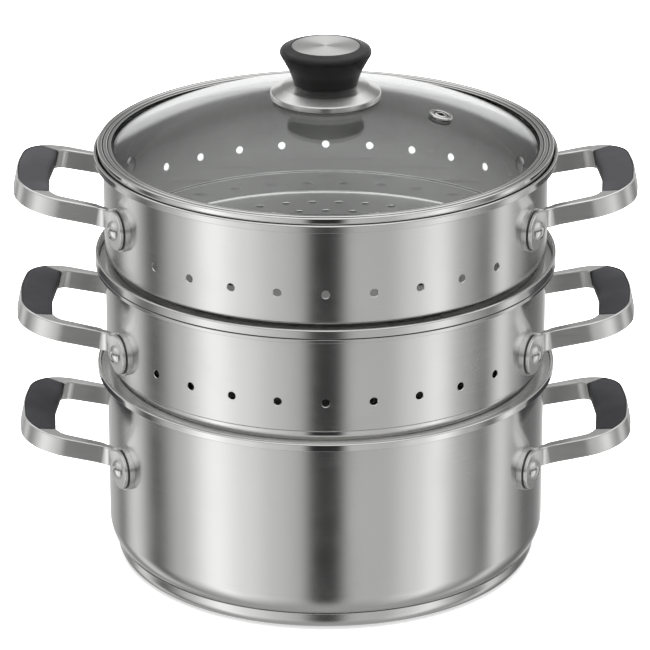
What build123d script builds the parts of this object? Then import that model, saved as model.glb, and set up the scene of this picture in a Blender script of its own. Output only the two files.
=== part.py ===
from build123d import *
import os
from math import asin, cos, degrees, radians, sin, sqrt

# Steamer pot of four levels: stock pot, two steamer tiers and a glass lid.
# Millimetres, +Z up, origin at the middle of the base, handles along X, front towards -Y.

# Vessels
bore_radius = 140.0
sheet = 0.8
tier_pitch = 71.2
pot_seat_height = 127.6
nest_gap = 0.6

# Pressed seat and band round each mouth
ledge_width = 4.1
band_thickness = 2.0
band_rise = 3.9
deep_band_rise = 7.8
band_groove_height = 2.8
band_groove_width = 0.9
band_groove_depth = 0.6
band_fillet = 0.8

# Pot corner and closed base
pot_corner = 20.0
core_thickness = 5.0
cap_sheet = 0.6
cap_height = 11.6
cap_corner = 8.0
cap_gap = 0.1
core_inset = 1.5

# Tier foot
spigot_depth = 6.0
spigot_corner = 3.0
flange_thickness = 1.6
foot_band_height = 9.4
crease_rise = 1.0
crease_round = 0.4
edge_round = 0.3

# Holes in the tiers
side_hole_radius = 2.5
side_hole_drop = 42.4
side_hole_count = 9
side_hole_pitch_angle = 12.1
floor_hole_radius = 2.5
floor_ring_pitch = 17.0
floor_ring_count = 7
floor_ring_extra_count = 6

# Loop handles
handle_projection = 56.6
handle_half_width = 51.0
handle_height = 12.6
handle_tilt = 11.5
handle_end_corner_share = 0.6
handle_end_bow = 5.0
handle_end_round = 150.0
arm_thickness_foot = 5.8
arm_thickness_grip = 8.4
arm_edge_round = 0.9
gap_corner = 8.0
bend_round = 7.0
grip_width = 22.0
grip_end_inset = 12.5
grip_end_slant = 9.0
grip_wall = 0.8
grip_floor = 2.4
grip_fit = 0.05
grip_crown = 0.5
grip_inner_round = 3.5
gap_bow = 3.0
gap_end_round = 120.0

# Feet, backing plates and rivets
foot_side_step = 12.8
foot_width = 24.0
foot_height = 25.0
foot_thickness = 3.0
foot_round = 0.8
foot_stub = 6.0
plate_thickness = 3.0
plate_margin = 1.3
rivet_below_arm = 4.0
shank_radius = 2.5
shank_gap = 0.1
rivet_head_radius = 6.1
rivet_head_edge = 0.7
rivet_head_dome = 3.0
spot_face_radius = 6.4
rivet_inner_radius = 5.0
rivet_inner_edge = 0.5
rivet_inner_dome = 1.0
seat_gap = 0.1

# Height of the rivets below the seat of their own vessel
pot_rivet_drop = 49.1
lower_tier_rivet_drop = 41.6
upper_tier_rivet_drop = 29.8

# Lid ring
ring_height = 7.9
ring_bead_widths = (3.0, 2.5, 1.9)
ring_bead_drops = (0.0, 0.1, 0.6)
ring_bead_rounds = (0.9, 0.8, 0.4)
ring_groove_width = 0.7
ring_groove_depth = 1.1
ring_plug_depth = 4.0
ring_plug_width = 1.6
ring_floor = 1.2
ring_wall = 3.2
seal_inset = 0.3

# Glass
glass_thickness = 4.0
glass_rise = 32.5
glass_flange = 6.0
glass_seal_gap = 0.5
glass_edge_round = 0.9
centre_hole_radius = 4.0

# Steam vent
vent_distance = 73.6
vent_angle = -11.8
vent_hole_radius = 4.2
vent_bore_radius = 2.2
vent_tube_radius = 4.0
vent_flange_radius = 7.4
vent_flange_height = 1.6
vent_flange_round = 0.7
vent_curl_radius = 5.6
vent_curl_height = 1.0
vent_curl_round = 0.4
vent_seal_thickness = 1.2

# Knob
flange_radius = 34.9
flange_rim_height = 3.6
flange_cone_rise = 5.8
flange_sheet = 1.0
flange_flare_radius = 25.5
flange_flare_rise = 3.2
flange_flare_round = 12.0
flange_rim_round = 0.8
knob_waist_radius = 20.2
knob_height = 24.4
knob_radius = 28.9
knob_top_round = 2.8
knob_brim_drop = 2.2
knob_taper_radius = 22.2
knob_taper_height = 7.0
knob_taper_round = 25.0
knob_brow_height = 19.3
knob_brow_round = 3.0
knob_waist_round = 0.8
inlay_radius = 21.4
inlay_gap = 0.3
inlay_thickness = 0.8
inlay_recess = 1.1
inlay_round = 0.2
screw_radius = 2.5
screw_reach = 14.0
screw_tip_gap = 2.0
screw_head_radius = 4.8
screw_head_height = 2.8
screw_head_round = 1.2
screw_slot_width = 1.2
screw_slot_depth = 1.4
screw_gap = 0.3
washer_radius = 9.0
washer_thickness = 1.2
knob_seal_bottom_thickness = 1.0
knob_seal_top_thickness = 0.8
knob_seal_top_width = 3.4
knob_seal_top_inset = 0.4
seal_round = 0.2

overrun = 2.0

# Worked out from the sizes above
wall_radius = bore_radius + sheet
neck_radius = wall_radius + ledge_width
spigot_radius = bore_radius - nest_gap
nest_radius = neck_radius - nest_gap
band_radius = neck_radius + band_thickness
base_underside = cap_sheet + core_thickness
lower_seat_height = pot_seat_height + tier_pitch
upper_seat_height = lower_seat_height + tier_pitch
plate_face = wall_radius + plate_thickness
foot_face = plate_face + foot_thickness
shank_hole = shank_radius + shank_gap
handle_reach = wall_radius + handle_projection
handle_end_corner = handle_half_width * handle_end_corner_share
grip_end_half = handle_half_width - grip_end_inset
foot_angle = degrees(asin((handle_half_width + foot_side_step) / foot_face))

SIDES = {"right": 0, "left": 180}
FRONT_AND_BACK = (-90, 90)


def turned(outline):
    """Solid of revolution about Z from (radius, height, corner rounding) points."""
    with BuildPart() as part:
        with BuildSketch(Plane.XZ):
            with BuildLine():
                points = [(r, z) for r, z, rounding in outline]
                FilletPolyline(*points, radius=[rounding for r, z, rounding in outline], close=True)
            make_face()
        revolve(axis=Axis.Z)
    return part.part


def radial_pin(radius, inner, outer, angle, height):
    """Round pin from inner to outer radius, pointing away from the axis."""
    pin = Cylinder(radius, outer - inner, align=(Align.CENTER, Align.CENTER, Align.MIN))
    return Rot(0, 0, angle) * Pos(inner, 0, height) * Rot(0, 90, 0) * pin


def mouth_outline(seat, rise, grooved):
    """Stepped seat and band, from the outside of the wall over the band to the bore."""
    underside = seat - sheet
    top = seat + rise
    rounding = band_thickness / 2 - edge_round / 2
    outline = [(wall_radius, underside, band_fillet), (band_radius, underside, band_fillet / 2)]
    if grooved:
        groove = underside + band_groove_height
        half = band_groove_width / 2
        outline.append((band_radius, groove - half, edge_round))
        outline.append((band_radius - band_groove_depth, groove, edge_round / 2))
        outline.append((band_radius, groove + half, edge_round))
    outline.append((band_radius, top, rounding))
    outline.append((neck_radius, top, rounding))
    outline.append((neck_radius, seat, edge_round))
    outline.append((bore_radius, seat, edge_round))
    return outline


def rivet_angles(side):
    return [SIDES[side] - foot_angle, SIDES[side] + foot_angle]


def rivet_holes(height):
    return [
        radial_pin(shank_hole, bore_radius - overrun, wall_radius + overrun, angle, height)
        for side in SIDES
        for angle in rivet_angles(side)
    ]


def pot_body():
    outline = [(0, base_underside, 0), (wall_radius, base_underside, pot_corner)]
    outline += mouth_outline(pot_seat_height, band_rise, False)
    outline += [(bore_radius, base_underside + sheet, pot_corner - sheet), (0, base_underside + sheet, 0)]
    return turned(outline) - rivet_holes(pot_seat_height - pot_rivet_drop)


def cap_radius():
    """Outside of the base cap, set by the pot's rounded corner at the cap's edge."""
    rise = base_underside + pot_corner - cap_height
    return wall_radius - pot_corner + sqrt(pot_corner**2 - rise**2) + cap_gap + cap_sheet


def pot_base_cap():
    outer = cap_radius()
    inner = outer - cap_sheet
    return turned(
        [
            (0, 0, 0),
            (outer, 0, cap_corner),
            (outer, cap_height, 0),
            (inner, cap_height, 0),
            (inner, cap_sheet, cap_corner - cap_sheet),
            (0, cap_sheet, 0),
        ]
    )


def pot_base_core():
    radius = cap_radius() - cap_corner - core_inset
    return turned(
        [
            (0, cap_sheet, 0),
            (radius, cap_sheet, edge_round),
            (radius, base_underside, edge_round),
            (0, base_underside, 0),
        ]
    )


def side_holes(height):
    """Two rows of holes through the wall, one at the front and one at the back."""
    holes = []
    for middle in FRONT_AND_BACK:
        for index in range(side_hole_count):
            angle = middle + (index - (side_hole_count - 1) / 2) * side_hole_pitch_angle
            holes.append(
                radial_pin(side_hole_radius, bore_radius - overrun, wall_radius + overrun, angle, height)
            )
    return holes


def floor_holes(floor):
    """Rings of holes through the floor, each ring with six more than the one inside it."""
    hole = Cylinder(floor_hole_radius, sheet + 2 * overrun, align=(Align.CENTER, Align.CENTER, Align.MIN))
    holes = [Pos(0, 0, floor - overrun) * hole]
    for ring in range(1, floor_ring_count + 1):
        count = ring * floor_ring_extra_count
        for index in range(count):
            spot = Rot(0, 0, 360 * index / count) * Pos(ring * floor_ring_pitch, 0, floor - overrun)
            holes.append(spot * hole)
    return holes


def tier_body(lower_seat, rise, grooved, rivet_drop):
    """Wall, stepped foot and perforated floor of a tier that rests on lower_seat."""
    seat = lower_seat + tier_pitch
    floor = lower_seat - spigot_depth
    crease = lower_seat + foot_band_height
    flange_top = lower_seat + flange_thickness
    foot_inner = spigot_radius - sheet
    outline = [
        (0, floor, 0),
        (spigot_radius, floor, spigot_corner),
        (spigot_radius, lower_seat, 0),
        (nest_radius, lower_seat, edge_round),
        (nest_radius, flange_top, edge_round),
        (spigot_radius, flange_top, 0),
        (spigot_radius, crease, crease_round),
        (wall_radius, crease + crease_rise, crease_round),
    ]
    outline += mouth_outline(seat, rise, grooved)
    outline += [
        (bore_radius, crease + crease_rise, crease_round),
        (foot_inner, crease, crease_round),
        (foot_inner, floor + sheet, spigot_corner - sheet),
        (0, floor + sheet, 0),
    ]
    cuts = side_holes(seat - side_hole_drop) + rivet_holes(seat - rivet_drop) + floor_holes(floor)
    return turned(outline) - cuts


def foot_entry():
    """Where the outer face of an arm meets the outer face of its foot, along X."""
    return (foot_face - handle_half_width * sin(radians(foot_angle))) / cos(radians(foot_angle))


def loop_reach():
    """Length of the loop along its own plane, which tilts up about the foot."""
    return foot_entry() + (handle_reach - foot_entry()) / cos(radians(handle_tilt))


def foot_point(face, along):
    """Point of the foot at a distance along it from the rivet, on a flat face of the given radius."""
    turn = radians(foot_angle)
    return (face * cos(turn) - along * sin(turn), face * sin(turn) + along * cos(turn))


def end_corners(inset):
    """Corner and tip of the loop's bowed end on the +Y half, drawn in by inset."""
    slope = handle_end_bow / handle_half_width
    tip = loop_reach() - inset * sqrt(1 + slope**2)
    half = handle_half_width - inset
    return [((tip - slope * half, half), handle_end_corner - inset), ((tip, 0), handle_end_round - inset)]


def loop_plan():
    """Corners of the strap seen from above: round the outside, then back along the inside."""
    inner_half = handle_half_width - arm_thickness_grip
    foot_half = handle_half_width - arm_thickness_foot
    grip_inner = loop_reach() - grip_width
    inner_entry = (plate_face - foot_half * sin(radians(foot_angle))) / cos(radians(foot_angle))
    outside = [
        (foot_point(plate_face, -foot_stub), 0),
        (foot_point(foot_face, -foot_stub), 0),
        ((foot_entry(), handle_half_width), bend_round),
        *end_corners(0),
    ]
    inside = [
        ((inner_entry, foot_half), bend_round / 2),
        ((grip_inner - gap_bow, inner_half), gap_corner),
    ]
    far_outside = [((x, -y), rounding) for (x, y), rounding in reversed(outside[:-1])]
    far_inside = [((x, -y), rounding) for (x, y), rounding in inside]
    return outside + far_outside + far_inside + [((grip_inner, 0), gap_end_round)] + inside[::-1]


def ring_face(ring):
    with BuildSketch() as sketch:
        with BuildLine():
            FilletPolyline(*[point for point, _ in ring], radius=[r for _, r in ring], close=True)
        make_face()
    return sketch.sketch


def grip_plan(inset):
    """Plan of the grip: the end of the loop between two slanted cuts."""
    corner, tip = end_corners(grip_wall + inset)
    start = (foot_entry(), corner[0][1])
    outside = [(start, 0), corner, tip]
    far_side = [((x, -y), rounding) for (x, y), rounding in (corner, (start, 0))]
    inner = loop_reach() - grip_width + inset
    cut_inner = grip_end_half - inset
    low = inner - gap_bow * cut_inner / (handle_half_width - arm_thickness_grip)
    far = loop_reach() + overrun
    end = cut_inner + grip_end_slant * (far - low) / grip_width
    cuts = [((low, cut_inner), 0), ((far, end), 0), ((far, -end), 0), ((low, -cut_inner), 0)]
    return ring_face(outside + far_side) & ring_face([((inner, 0), gap_end_round)] + cuts)


def tilt_up(shape, rivet_height):
    """Tilt a shape drawn at height zero up about the foot and set it at its height."""
    pivot = foot_entry()
    return Pos(pivot, 0, rivet_height + rivet_below_arm) * Rot(0, -handle_tilt, 0) * Pos(-pivot, 0, 0) * shape


def foot_disc(width, height, face, thickness):
    """Upright rounded plate on a flat face of the given radius, before it is turned to its angle."""
    with BuildPart() as part:
        with BuildSketch(Plane.YZ.offset(face)):
            RectangleRounded(width, height, width / 2 - edge_round)
        extrude(amount=thickness)
    return part.part


def handle(rivet_height, side):
    """Cast loop: tilted strap with a pocket for the grip, and two upright feet."""
    strap = extrude(ring_face(loop_plan()), handle_height / 2, both=True)
    edges = strap.edges().filter_by(lambda e: abs(e.center().Z) > handle_height / 2 - seat_gap)
    strap = fillet(edges, arm_edge_round)
    pocket_floor = grip_floor - handle_height / 2
    strap -= Pos(0, 0, pocket_floor) * extrude(grip_plan(0), handle_height)
    solid = tilt_up(strap, rivet_height)
    for angle in (-foot_angle, foot_angle):
        foot = foot_disc(foot_width, foot_height, plate_face, foot_thickness)
        outer = foot.faces().sort_by(Axis.X)[-1]
        foot = fillet(outer.edges(), foot_round)
        solid += Rot(0, 0, angle) * Pos(0, 0, rivet_height) * foot
    # Nothing of the strap may stand behind the flat of the feet.
    for angle in (-foot_angle, foot_angle):
        keep_out = Box(
            plate_thickness * 2,
            foot_width * 2,
            foot_height * 2,
            align=(Align.MAX, Align.CENTER, Align.CENTER),
        )
        solid -= Rot(0, 0, angle) * Pos(plate_face, 0, rivet_height) * keep_out
        solid -= radial_pin(shank_hole, plate_face - overrun, foot_face + overrun, angle, rivet_height)
        # Spot face for the rivet's head, where the leaning strap runs into the foot.
        head_room = rivet_head_edge + rivet_head_dome + overrun
        solid -= radial_pin(spot_face_radius, foot_face, foot_face + head_room, angle, rivet_height)
    return Rot(0, 0, SIDES[side]) * solid


def grip(rivet_height, side):
    """Moulded grip that fills the pocket, crowned a little over the strap."""
    pocket_floor = grip_floor - handle_height / 2
    height = handle_height - grip_floor + grip_crown
    block = Pos(0, 0, pocket_floor) * extrude(grip_plan(grip_fit), height)
    top = block.faces().sort_by(Axis.Z)[-1]
    inner = loop_reach() - grip_width + grip_fit
    inner_edges = top.edges().filter_by(lambda e: e.center().X < inner and abs(e.center().Y) < grip_end_half)
    block = fillet(inner_edges, grip_inner_round)
    return Rot(0, 0, SIDES[side]) * tilt_up(block, rivet_height)


def foot_plates(rivet_height, side):
    """Two backing plates, flat outside and hollowed to the wall inside."""
    plates = []
    for angle in rivet_angles(side):
        width = foot_width + 2 * plate_margin
        height = foot_height + 2 * plate_margin
        depth = plate_face - wall_radius + plate_thickness
        plate = foot_disc(width, height, plate_face - depth, depth)
        wall = Cylinder(wall_radius + seat_gap / 2, height + 2 * overrun)
        plate -= wall
        plate -= radial_pin(shank_hole, wall_radius - overrun, plate_face + overrun, 0, 0)
        plates.append(Rot(0, 0, angle) * Pos(0, 0, rivet_height) * plate)
    return plates


def rivets(rivet_height, side):
    """Two rivets with a domed head outside and a low head inside the wall."""
    inner_flat = sqrt(bore_radius**2 - rivet_inner_radius**2) - seat_gap
    inner_edge = inner_flat - rivet_inner_edge
    outer_edge = foot_face + rivet_head_edge
    inner_ball = (rivet_inner_radius**2 + rivet_inner_dome**2) / (2 * rivet_inner_dome)
    outer_ball = (rivet_head_radius**2 + rivet_head_dome**2) / (2 * rivet_head_dome)
    with BuildPart() as part:
        with BuildSketch(Plane.XZ):
            with BuildLine():
                RadiusArc((0, inner_edge - rivet_inner_dome), (rivet_inner_radius, inner_edge), -inner_ball)
                Polyline(
                    (rivet_inner_radius, inner_edge),
                    (rivet_inner_radius, inner_flat),
                    (shank_radius, inner_flat),
                    (shank_radius, foot_face),
                    (rivet_head_radius, foot_face),
                    (rivet_head_radius, outer_edge),
                )
                RadiusArc((rivet_head_radius, outer_edge), (0, outer_edge + rivet_head_dome), -outer_ball)
                Line((0, outer_edge + rivet_head_dome), (0, inner_edge - rivet_inner_dome))
            make_face()
        revolve(axis=Axis.Z)
    rivet = Rot(0, 90, 0) * part.part
    return [Rot(0, 0, angle) * Pos(0, 0, rivet_height) * rivet for angle in rivet_angles(side)]


def lip_inner_radius():
    widths = sum(ring_bead_widths) + (len(ring_bead_widths) - 1) * ring_groove_width
    return nest_radius - widths


def lid_rim():
    """Rolled ring with three beads, hollow for the glass edge, and a plug that locates in the bore."""
    seat = upper_seat_height
    top = seat + ring_height
    channel = nest_radius - ring_wall
    plug_outer = spigot_radius
    plug_inner = plug_outer - ring_plug_width
    flange_floor = seat + ring_floor
    flange_ceiling = flange_floor + glass_thickness + 2 * glass_seal_gap
    outline = [
        (plug_inner, seat - ring_plug_depth, edge_round),
        (plug_outer, seat - ring_plug_depth, edge_round),
        (plug_outer, seat, 0),
        (nest_radius, seat, edge_round),
    ]
    radius = nest_radius
    for width, drop, rounding in zip(ring_bead_widths, ring_bead_drops, ring_bead_rounds):
        if radius < nest_radius:
            outline.append((radius, top - ring_groove_depth, 0))
        outline.append((radius, top - drop, min(rounding, ring_groove_depth - drop)))
        outline.append((radius - width, top - drop, min(rounding, ring_groove_depth - drop)))
        radius -= width
        if radius > lip_inner_radius():
            outline.append((radius, top - ring_groove_depth, 0))
            radius -= ring_groove_width
    outline += [
        (lip_inner_radius(), flange_ceiling, 0),
        (channel, flange_ceiling, 0),
        (channel, flange_floor, 0),
        (plug_inner, flange_floor, edge_round),
    ]
    return turned(outline)


def glass_sizes():
    """Flange top and bottom, edge radius, dome start radius, apex height, and dome ball radius."""
    bottom = upper_seat_height + ring_floor + glass_seal_gap
    top = bottom + glass_thickness
    edge = nest_radius - ring_wall - glass_seal_gap
    start = edge - glass_flange
    apex = top + glass_rise
    ball = (start**2 + glass_rise**2) / (2 * glass_rise)
    return bottom, top, edge, start, apex, ball


def dome_height(radius):
    """Height of the outside of the glass at a distance from the axis."""
    bottom, top, edge, start, apex, ball = glass_sizes()
    return apex - ball + sqrt(ball**2 - radius**2)


def vent_frame():
    """Place on the outside of the glass, with Z square to it."""
    bottom, top, edge, start, apex, ball = glass_sizes()
    lean = degrees(asin(vent_distance / ball))
    return Pos(0, 0, apex - ball) * Rot(0, 0, vent_angle) * Rot(0, lean, 0) * Pos(0, 0, ball)


def lid_glass():
    """Even dome on a flat edge, with a hole for the screw and one for the vent."""
    bottom, top, edge, start, apex, ball = glass_sizes()
    inner_ball = ball - glass_thickness
    centre = apex - ball
    inner_start = sqrt(inner_ball**2 - (bottom - centre) ** 2)
    hole_top = centre + sqrt(ball**2 - centre_hole_radius**2)
    hole_bottom = centre + sqrt(inner_ball**2 - centre_hole_radius**2)
    with BuildPart() as part:
        with BuildSketch(Plane.XZ):
            with BuildLine():
                RadiusArc((centre_hole_radius, hole_top), (start, top), ball)
                Polyline(
                    (start, top),
                    (edge - glass_edge_round, top),
                    (edge, top - glass_edge_round),
                    (edge, bottom + glass_edge_round),
                    (edge - glass_edge_round, bottom),
                    (inner_start, bottom),
                )
                RadiusArc((inner_start, bottom), (centre_hole_radius, hole_bottom), -inner_ball)
                Line((centre_hole_radius, hole_bottom), (centre_hole_radius, hole_top))
            make_face()
        revolve(axis=Axis.Z)
    drill = Cylinder(vent_hole_radius, 4 * glass_thickness)
    return part.part - vent_frame() * drill


def lid_rim_seal():
    """Soft channel round the flat edge of the glass, inside the ring."""
    bottom, top, edge, start, apex, ball = glass_sizes()
    outer = edge + glass_seal_gap
    lower_inner = spigot_radius - ring_plug_width
    upper_inner = lip_inner_radius() + seal_inset
    return turned(
        [
            (lower_inner, bottom - glass_seal_gap, 0),
            (outer, bottom - glass_seal_gap, 0),
            (outer, top + glass_seal_gap, 0),
            (upper_inner, top + glass_seal_gap, 0),
            (upper_inner, top, 0),
            (edge, top, 0),
            (edge, bottom, 0),
            (lower_inner, bottom, 0),
        ]
    )


def vent_grommet():
    """Rounded eyelet on the glass, its tube rolled over below."""
    seal_bottom = -glass_thickness - vent_seal_thickness - seat_gap
    curl_bottom = seal_bottom - vent_curl_height
    eyelet = turned(
        [
            (vent_bore_radius, curl_bottom, vent_curl_round),
            (vent_curl_radius, curl_bottom, vent_curl_round),
            (vent_curl_radius, seal_bottom, vent_curl_round),
            (vent_tube_radius, seal_bottom, 0),
            (vent_tube_radius, seat_gap, 0),
            (vent_flange_radius, seat_gap, edge_round),
            (vent_flange_radius, seat_gap + vent_flange_height, vent_flange_round),
            (vent_bore_radius, seat_gap + vent_flange_height, vent_flange_round),
        ]
    )
    return vent_frame() * eyelet


def vent_seal():
    """Soft washer between the rolled end of the eyelet and the underside of the glass."""
    top = -glass_thickness - seat_gap
    washer = turned(
        [
            (vent_hole_radius, top - vent_seal_thickness, 0),
            (vent_flange_radius, top - vent_seal_thickness, seal_round),
            (vent_flange_radius, top, seal_round),
            (vent_hole_radius, top, 0),
        ]
    )
    return vent_frame() * washer


def knob_base_height():
    """Foot of the knob's steel dish, standing on its gasket."""
    return dome_height(flange_radius - knob_seal_top_inset) + knob_seal_top_thickness + seat_gap


def knob_waist_height():
    return knob_base_height() + flange_rim_height + flange_cone_rise


def knob_flange():
    """Hollow pressed dish with an upright rim and a flared top."""
    base = knob_base_height()
    rim_top = base + flange_rim_height
    flare = rim_top + flange_flare_rise
    waist = knob_waist_height()
    inner_flare = flange_flare_radius - flange_sheet
    hole = screw_radius + screw_gap
    return turned(
        [
            (flange_radius, base, edge_round),
            (flange_radius, rim_top, flange_rim_round),
            (flange_flare_radius, flare, flange_flare_round),
            (knob_waist_radius, waist, seal_round),
            (hole, waist, 0),
            (hole, waist - flange_sheet, 0),
            (knob_waist_radius - flange_sheet, waist - flange_sheet, seal_round),
            (inner_flare, flare - flange_sheet, flange_flare_round),
            (flange_radius - flange_sheet, rim_top - flange_sheet, seal_round),
            (flange_radius - flange_sheet, base, edge_round),
        ]
    )


def knob_body():
    """Flared knob with a recess for the inlay and a blind hole for the screw."""
    waist = knob_waist_height()
    top = waist + knob_height
    lip = inlay_radius + inlay_gap
    hole_top = waist + screw_reach + screw_tip_gap
    outline = [
        (screw_radius, waist, 0),
        (knob_waist_radius, waist, knob_waist_round),
        (knob_taper_radius, waist + knob_taper_height, knob_taper_round),
        (knob_radius, waist + knob_brow_height, knob_brow_round),
        (knob_radius, top - knob_brim_drop, knob_top_round),
        (lip, top, edge_round),
        (lip, top - inlay_recess, 0),
        (0, top - inlay_recess, 0),
        (0, hole_top, 0),
        (screw_radius, hole_top, 0),
    ]
    return turned(outline)


def knob_inlay():
    top = knob_waist_height() + knob_height - inlay_recess + inlay_thickness
    return turned(
        [
            (0, top - inlay_thickness, 0),
            (inlay_radius, top - inlay_thickness, 0),
            (inlay_radius, top, inlay_round),
            (0, top, 0),
        ]
    )


def under_glass(radius):
    """Height of the underside of the glass at a distance from the axis."""
    bottom, top, edge, start, apex, ball = glass_sizes()
    return apex - ball + sqrt((ball - glass_thickness) ** 2 - radius**2)


def washer_top():
    return under_glass(washer_radius) - knob_seal_bottom_thickness - seat_gap


def knob_seal_bottom():
    hole = centre_hole_radius
    return turned(
        [
            (hole, washer_top(), 0),
            (washer_radius, washer_top(), seal_round),
            (washer_radius, washer_top() + knob_seal_bottom_thickness, seal_round),
            (hole, washer_top() + knob_seal_bottom_thickness, 0),
        ]
    )


def knob_washer():
    hole = screw_radius + screw_gap
    return turned(
        [
            (hole, washer_top() - washer_thickness, 0),
            (washer_radius, washer_top() - washer_thickness, seal_round),
            (washer_radius, washer_top(), seal_round),
            (hole, washer_top(), 0),
        ]
    )


def knob_seal_top():
    """Flat ring under the rim of the dish."""
    outer = flange_radius - knob_seal_top_inset
    inner = outer - knob_seal_top_width
    top = knob_base_height()
    underside = dome_height(inner) + seat_gap
    return turned(
        [
            (inner, underside, 0),
            (outer, underside, 0),
            (outer, top, 0),
            (inner, top, 0),
        ]
    )


def knob_screw():
    """Pan-head screw from under the glass up into the knob."""
    head_top = washer_top() - washer_thickness
    head_bottom = head_top - screw_head_height
    tip = knob_waist_height() + screw_reach
    screw = turned(
        [
            (0, head_bottom, 0),
            (screw_head_radius, head_bottom, screw_head_round),
            (screw_head_radius, head_top, 0),
            (screw_radius, head_top, 0),
            (screw_radius, tip, edge_round),
            (0, tip, 0),
        ]
    )
    slot = Box(2 * screw_head_radius, screw_slot_width, 2 * screw_slot_depth)
    cross = Rot(0, 0, 90) * slot
    return screw - Pos(0, 0, head_bottom) * slot - Pos(0, 0, head_bottom) * cross


def write(name, solids):
    shape = Compound(children=solids) if isinstance(solids, list) else solids
    export_step(shape, os.path.join("parts", name + ".step"))


def write_fittings(vessel, rivet_height):
    """Handles, grips, backing plates and rivets of one vessel."""
    for side in SIDES:
        write(f"{vessel}_handle_{side}", handle(rivet_height, side))
        write(f"{vessel}_grip_{side}", grip(rivet_height, side))
        write(f"{vessel}_foot_plates_{side}", foot_plates(rivet_height, side))
        write(f"{vessel}_rivets_{side}", rivets(rivet_height, side))


def main():
    os.makedirs("parts", exist_ok=True)
    write("pot_body", pot_body())
    write("pot_base_core", pot_base_core())
    write("pot_base_cap", pot_base_cap())
    write("lower_tier_body", tier_body(pot_seat_height, deep_band_rise, True, lower_tier_rivet_drop))
    write("upper_tier_body", tier_body(lower_seat_height, band_rise, False, upper_tier_rivet_drop))
    write_fittings("pot", pot_seat_height - pot_rivet_drop)
    write_fittings("lower_tier", lower_seat_height - lower_tier_rivet_drop)
    write_fittings("upper_tier", upper_seat_height - upper_tier_rivet_drop)
    write("lid_glass", lid_glass())
    write("lid_rim", lid_rim())
    write("lid_rim_seal", lid_rim_seal())
    write("vent_grommet", vent_grommet())
    write("vent_seal", vent_seal())
    write("knob_flange", knob_flange())
    write("knob_body", knob_body())
    write("knob_inlay", knob_inlay())
    write("knob_screw", knob_screw())
    write("knob_washer", knob_washer())
    write("knob_seal_top", knob_seal_top())
    write("knob_seal_bottom", knob_seal_bottom())


main()
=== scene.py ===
from math import asin, atan2, ceil, copysign, cos, hypot, pi, radians, sin, sqrt, tan

import bmesh
import bpy
import numpy as np
from mathutils import Matrix, Vector


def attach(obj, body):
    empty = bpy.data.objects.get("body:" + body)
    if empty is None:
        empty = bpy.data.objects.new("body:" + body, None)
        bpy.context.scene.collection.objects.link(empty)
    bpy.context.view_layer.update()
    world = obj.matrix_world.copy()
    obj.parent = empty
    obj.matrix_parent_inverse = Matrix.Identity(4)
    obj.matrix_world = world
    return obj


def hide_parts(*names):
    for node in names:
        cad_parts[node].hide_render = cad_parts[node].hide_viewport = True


bl_info = {
    "name": "Steamer pot",
    "version": (1, 0, 0),
    "blender": (4, 5, 0),
    "location": "3D View > Sidebar > Steamer",
    "description": "Steamer pot with two perforated tiers, riveted handles and a glass lid",
    "category": "Object",
}

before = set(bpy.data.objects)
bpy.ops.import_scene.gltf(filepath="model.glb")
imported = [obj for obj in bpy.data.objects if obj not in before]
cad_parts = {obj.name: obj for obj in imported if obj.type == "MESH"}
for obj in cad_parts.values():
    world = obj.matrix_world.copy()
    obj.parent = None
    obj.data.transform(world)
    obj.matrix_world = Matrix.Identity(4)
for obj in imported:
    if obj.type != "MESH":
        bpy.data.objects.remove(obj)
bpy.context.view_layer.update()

MM = 0.001
STEPS = ("pot", "lower_tier", "upper_tier")
SIDES = {"right": 0.0, "left": pi}

# Segments round a turned piece, and the longest steps along its rounded corners.
SEGMENTS = 256
ARC_STEP = radians(8)
ARC_LENGTH = 4 * MM

# Rounding of a steel edge, reach of a cutter past the sheet, and distance at which points are one.
EDGE = 0.3 * MM
OVERRUN = 1.2 * MM
NEAR = 1e-7

# How far from a radius the middle of a face still counts as lying on it.
SLACK = EDGE / 3

# A face takes the outline's own normals when it lies this near to it and faces the same way.
ON_OUTLINE = 0.06 * MM
SAME_WAY = 0.985


def length(name, default, description):
    return bpy.props.FloatProperty(
        name=name, description=description, default=default * MM, min=0.0, precision=5, unit="LENGTH"
    )


def turning(name, default, description):
    return bpy.props.FloatProperty(
        name=name, description=description, default=radians(default), unit="ROTATION"
    )


def factor(name, default, description):
    return bpy.props.FloatProperty(
        name=name, description=description, default=default, min=0.0, max=1.0, subtype="FACTOR"
    )


def amount(name, default, description):
    return bpy.props.FloatProperty(name=name, description=description, default=default, min=0.0)


def whole(name, default, description):
    return bpy.props.IntProperty(name=name, description=description, default=default, min=1)


def colour(name, default, description):
    return bpy.props.FloatVectorProperty(
        name=name, description=description, default=default, size=3, min=0.0, max=1.0, subtype="COLOR"
    )


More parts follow.
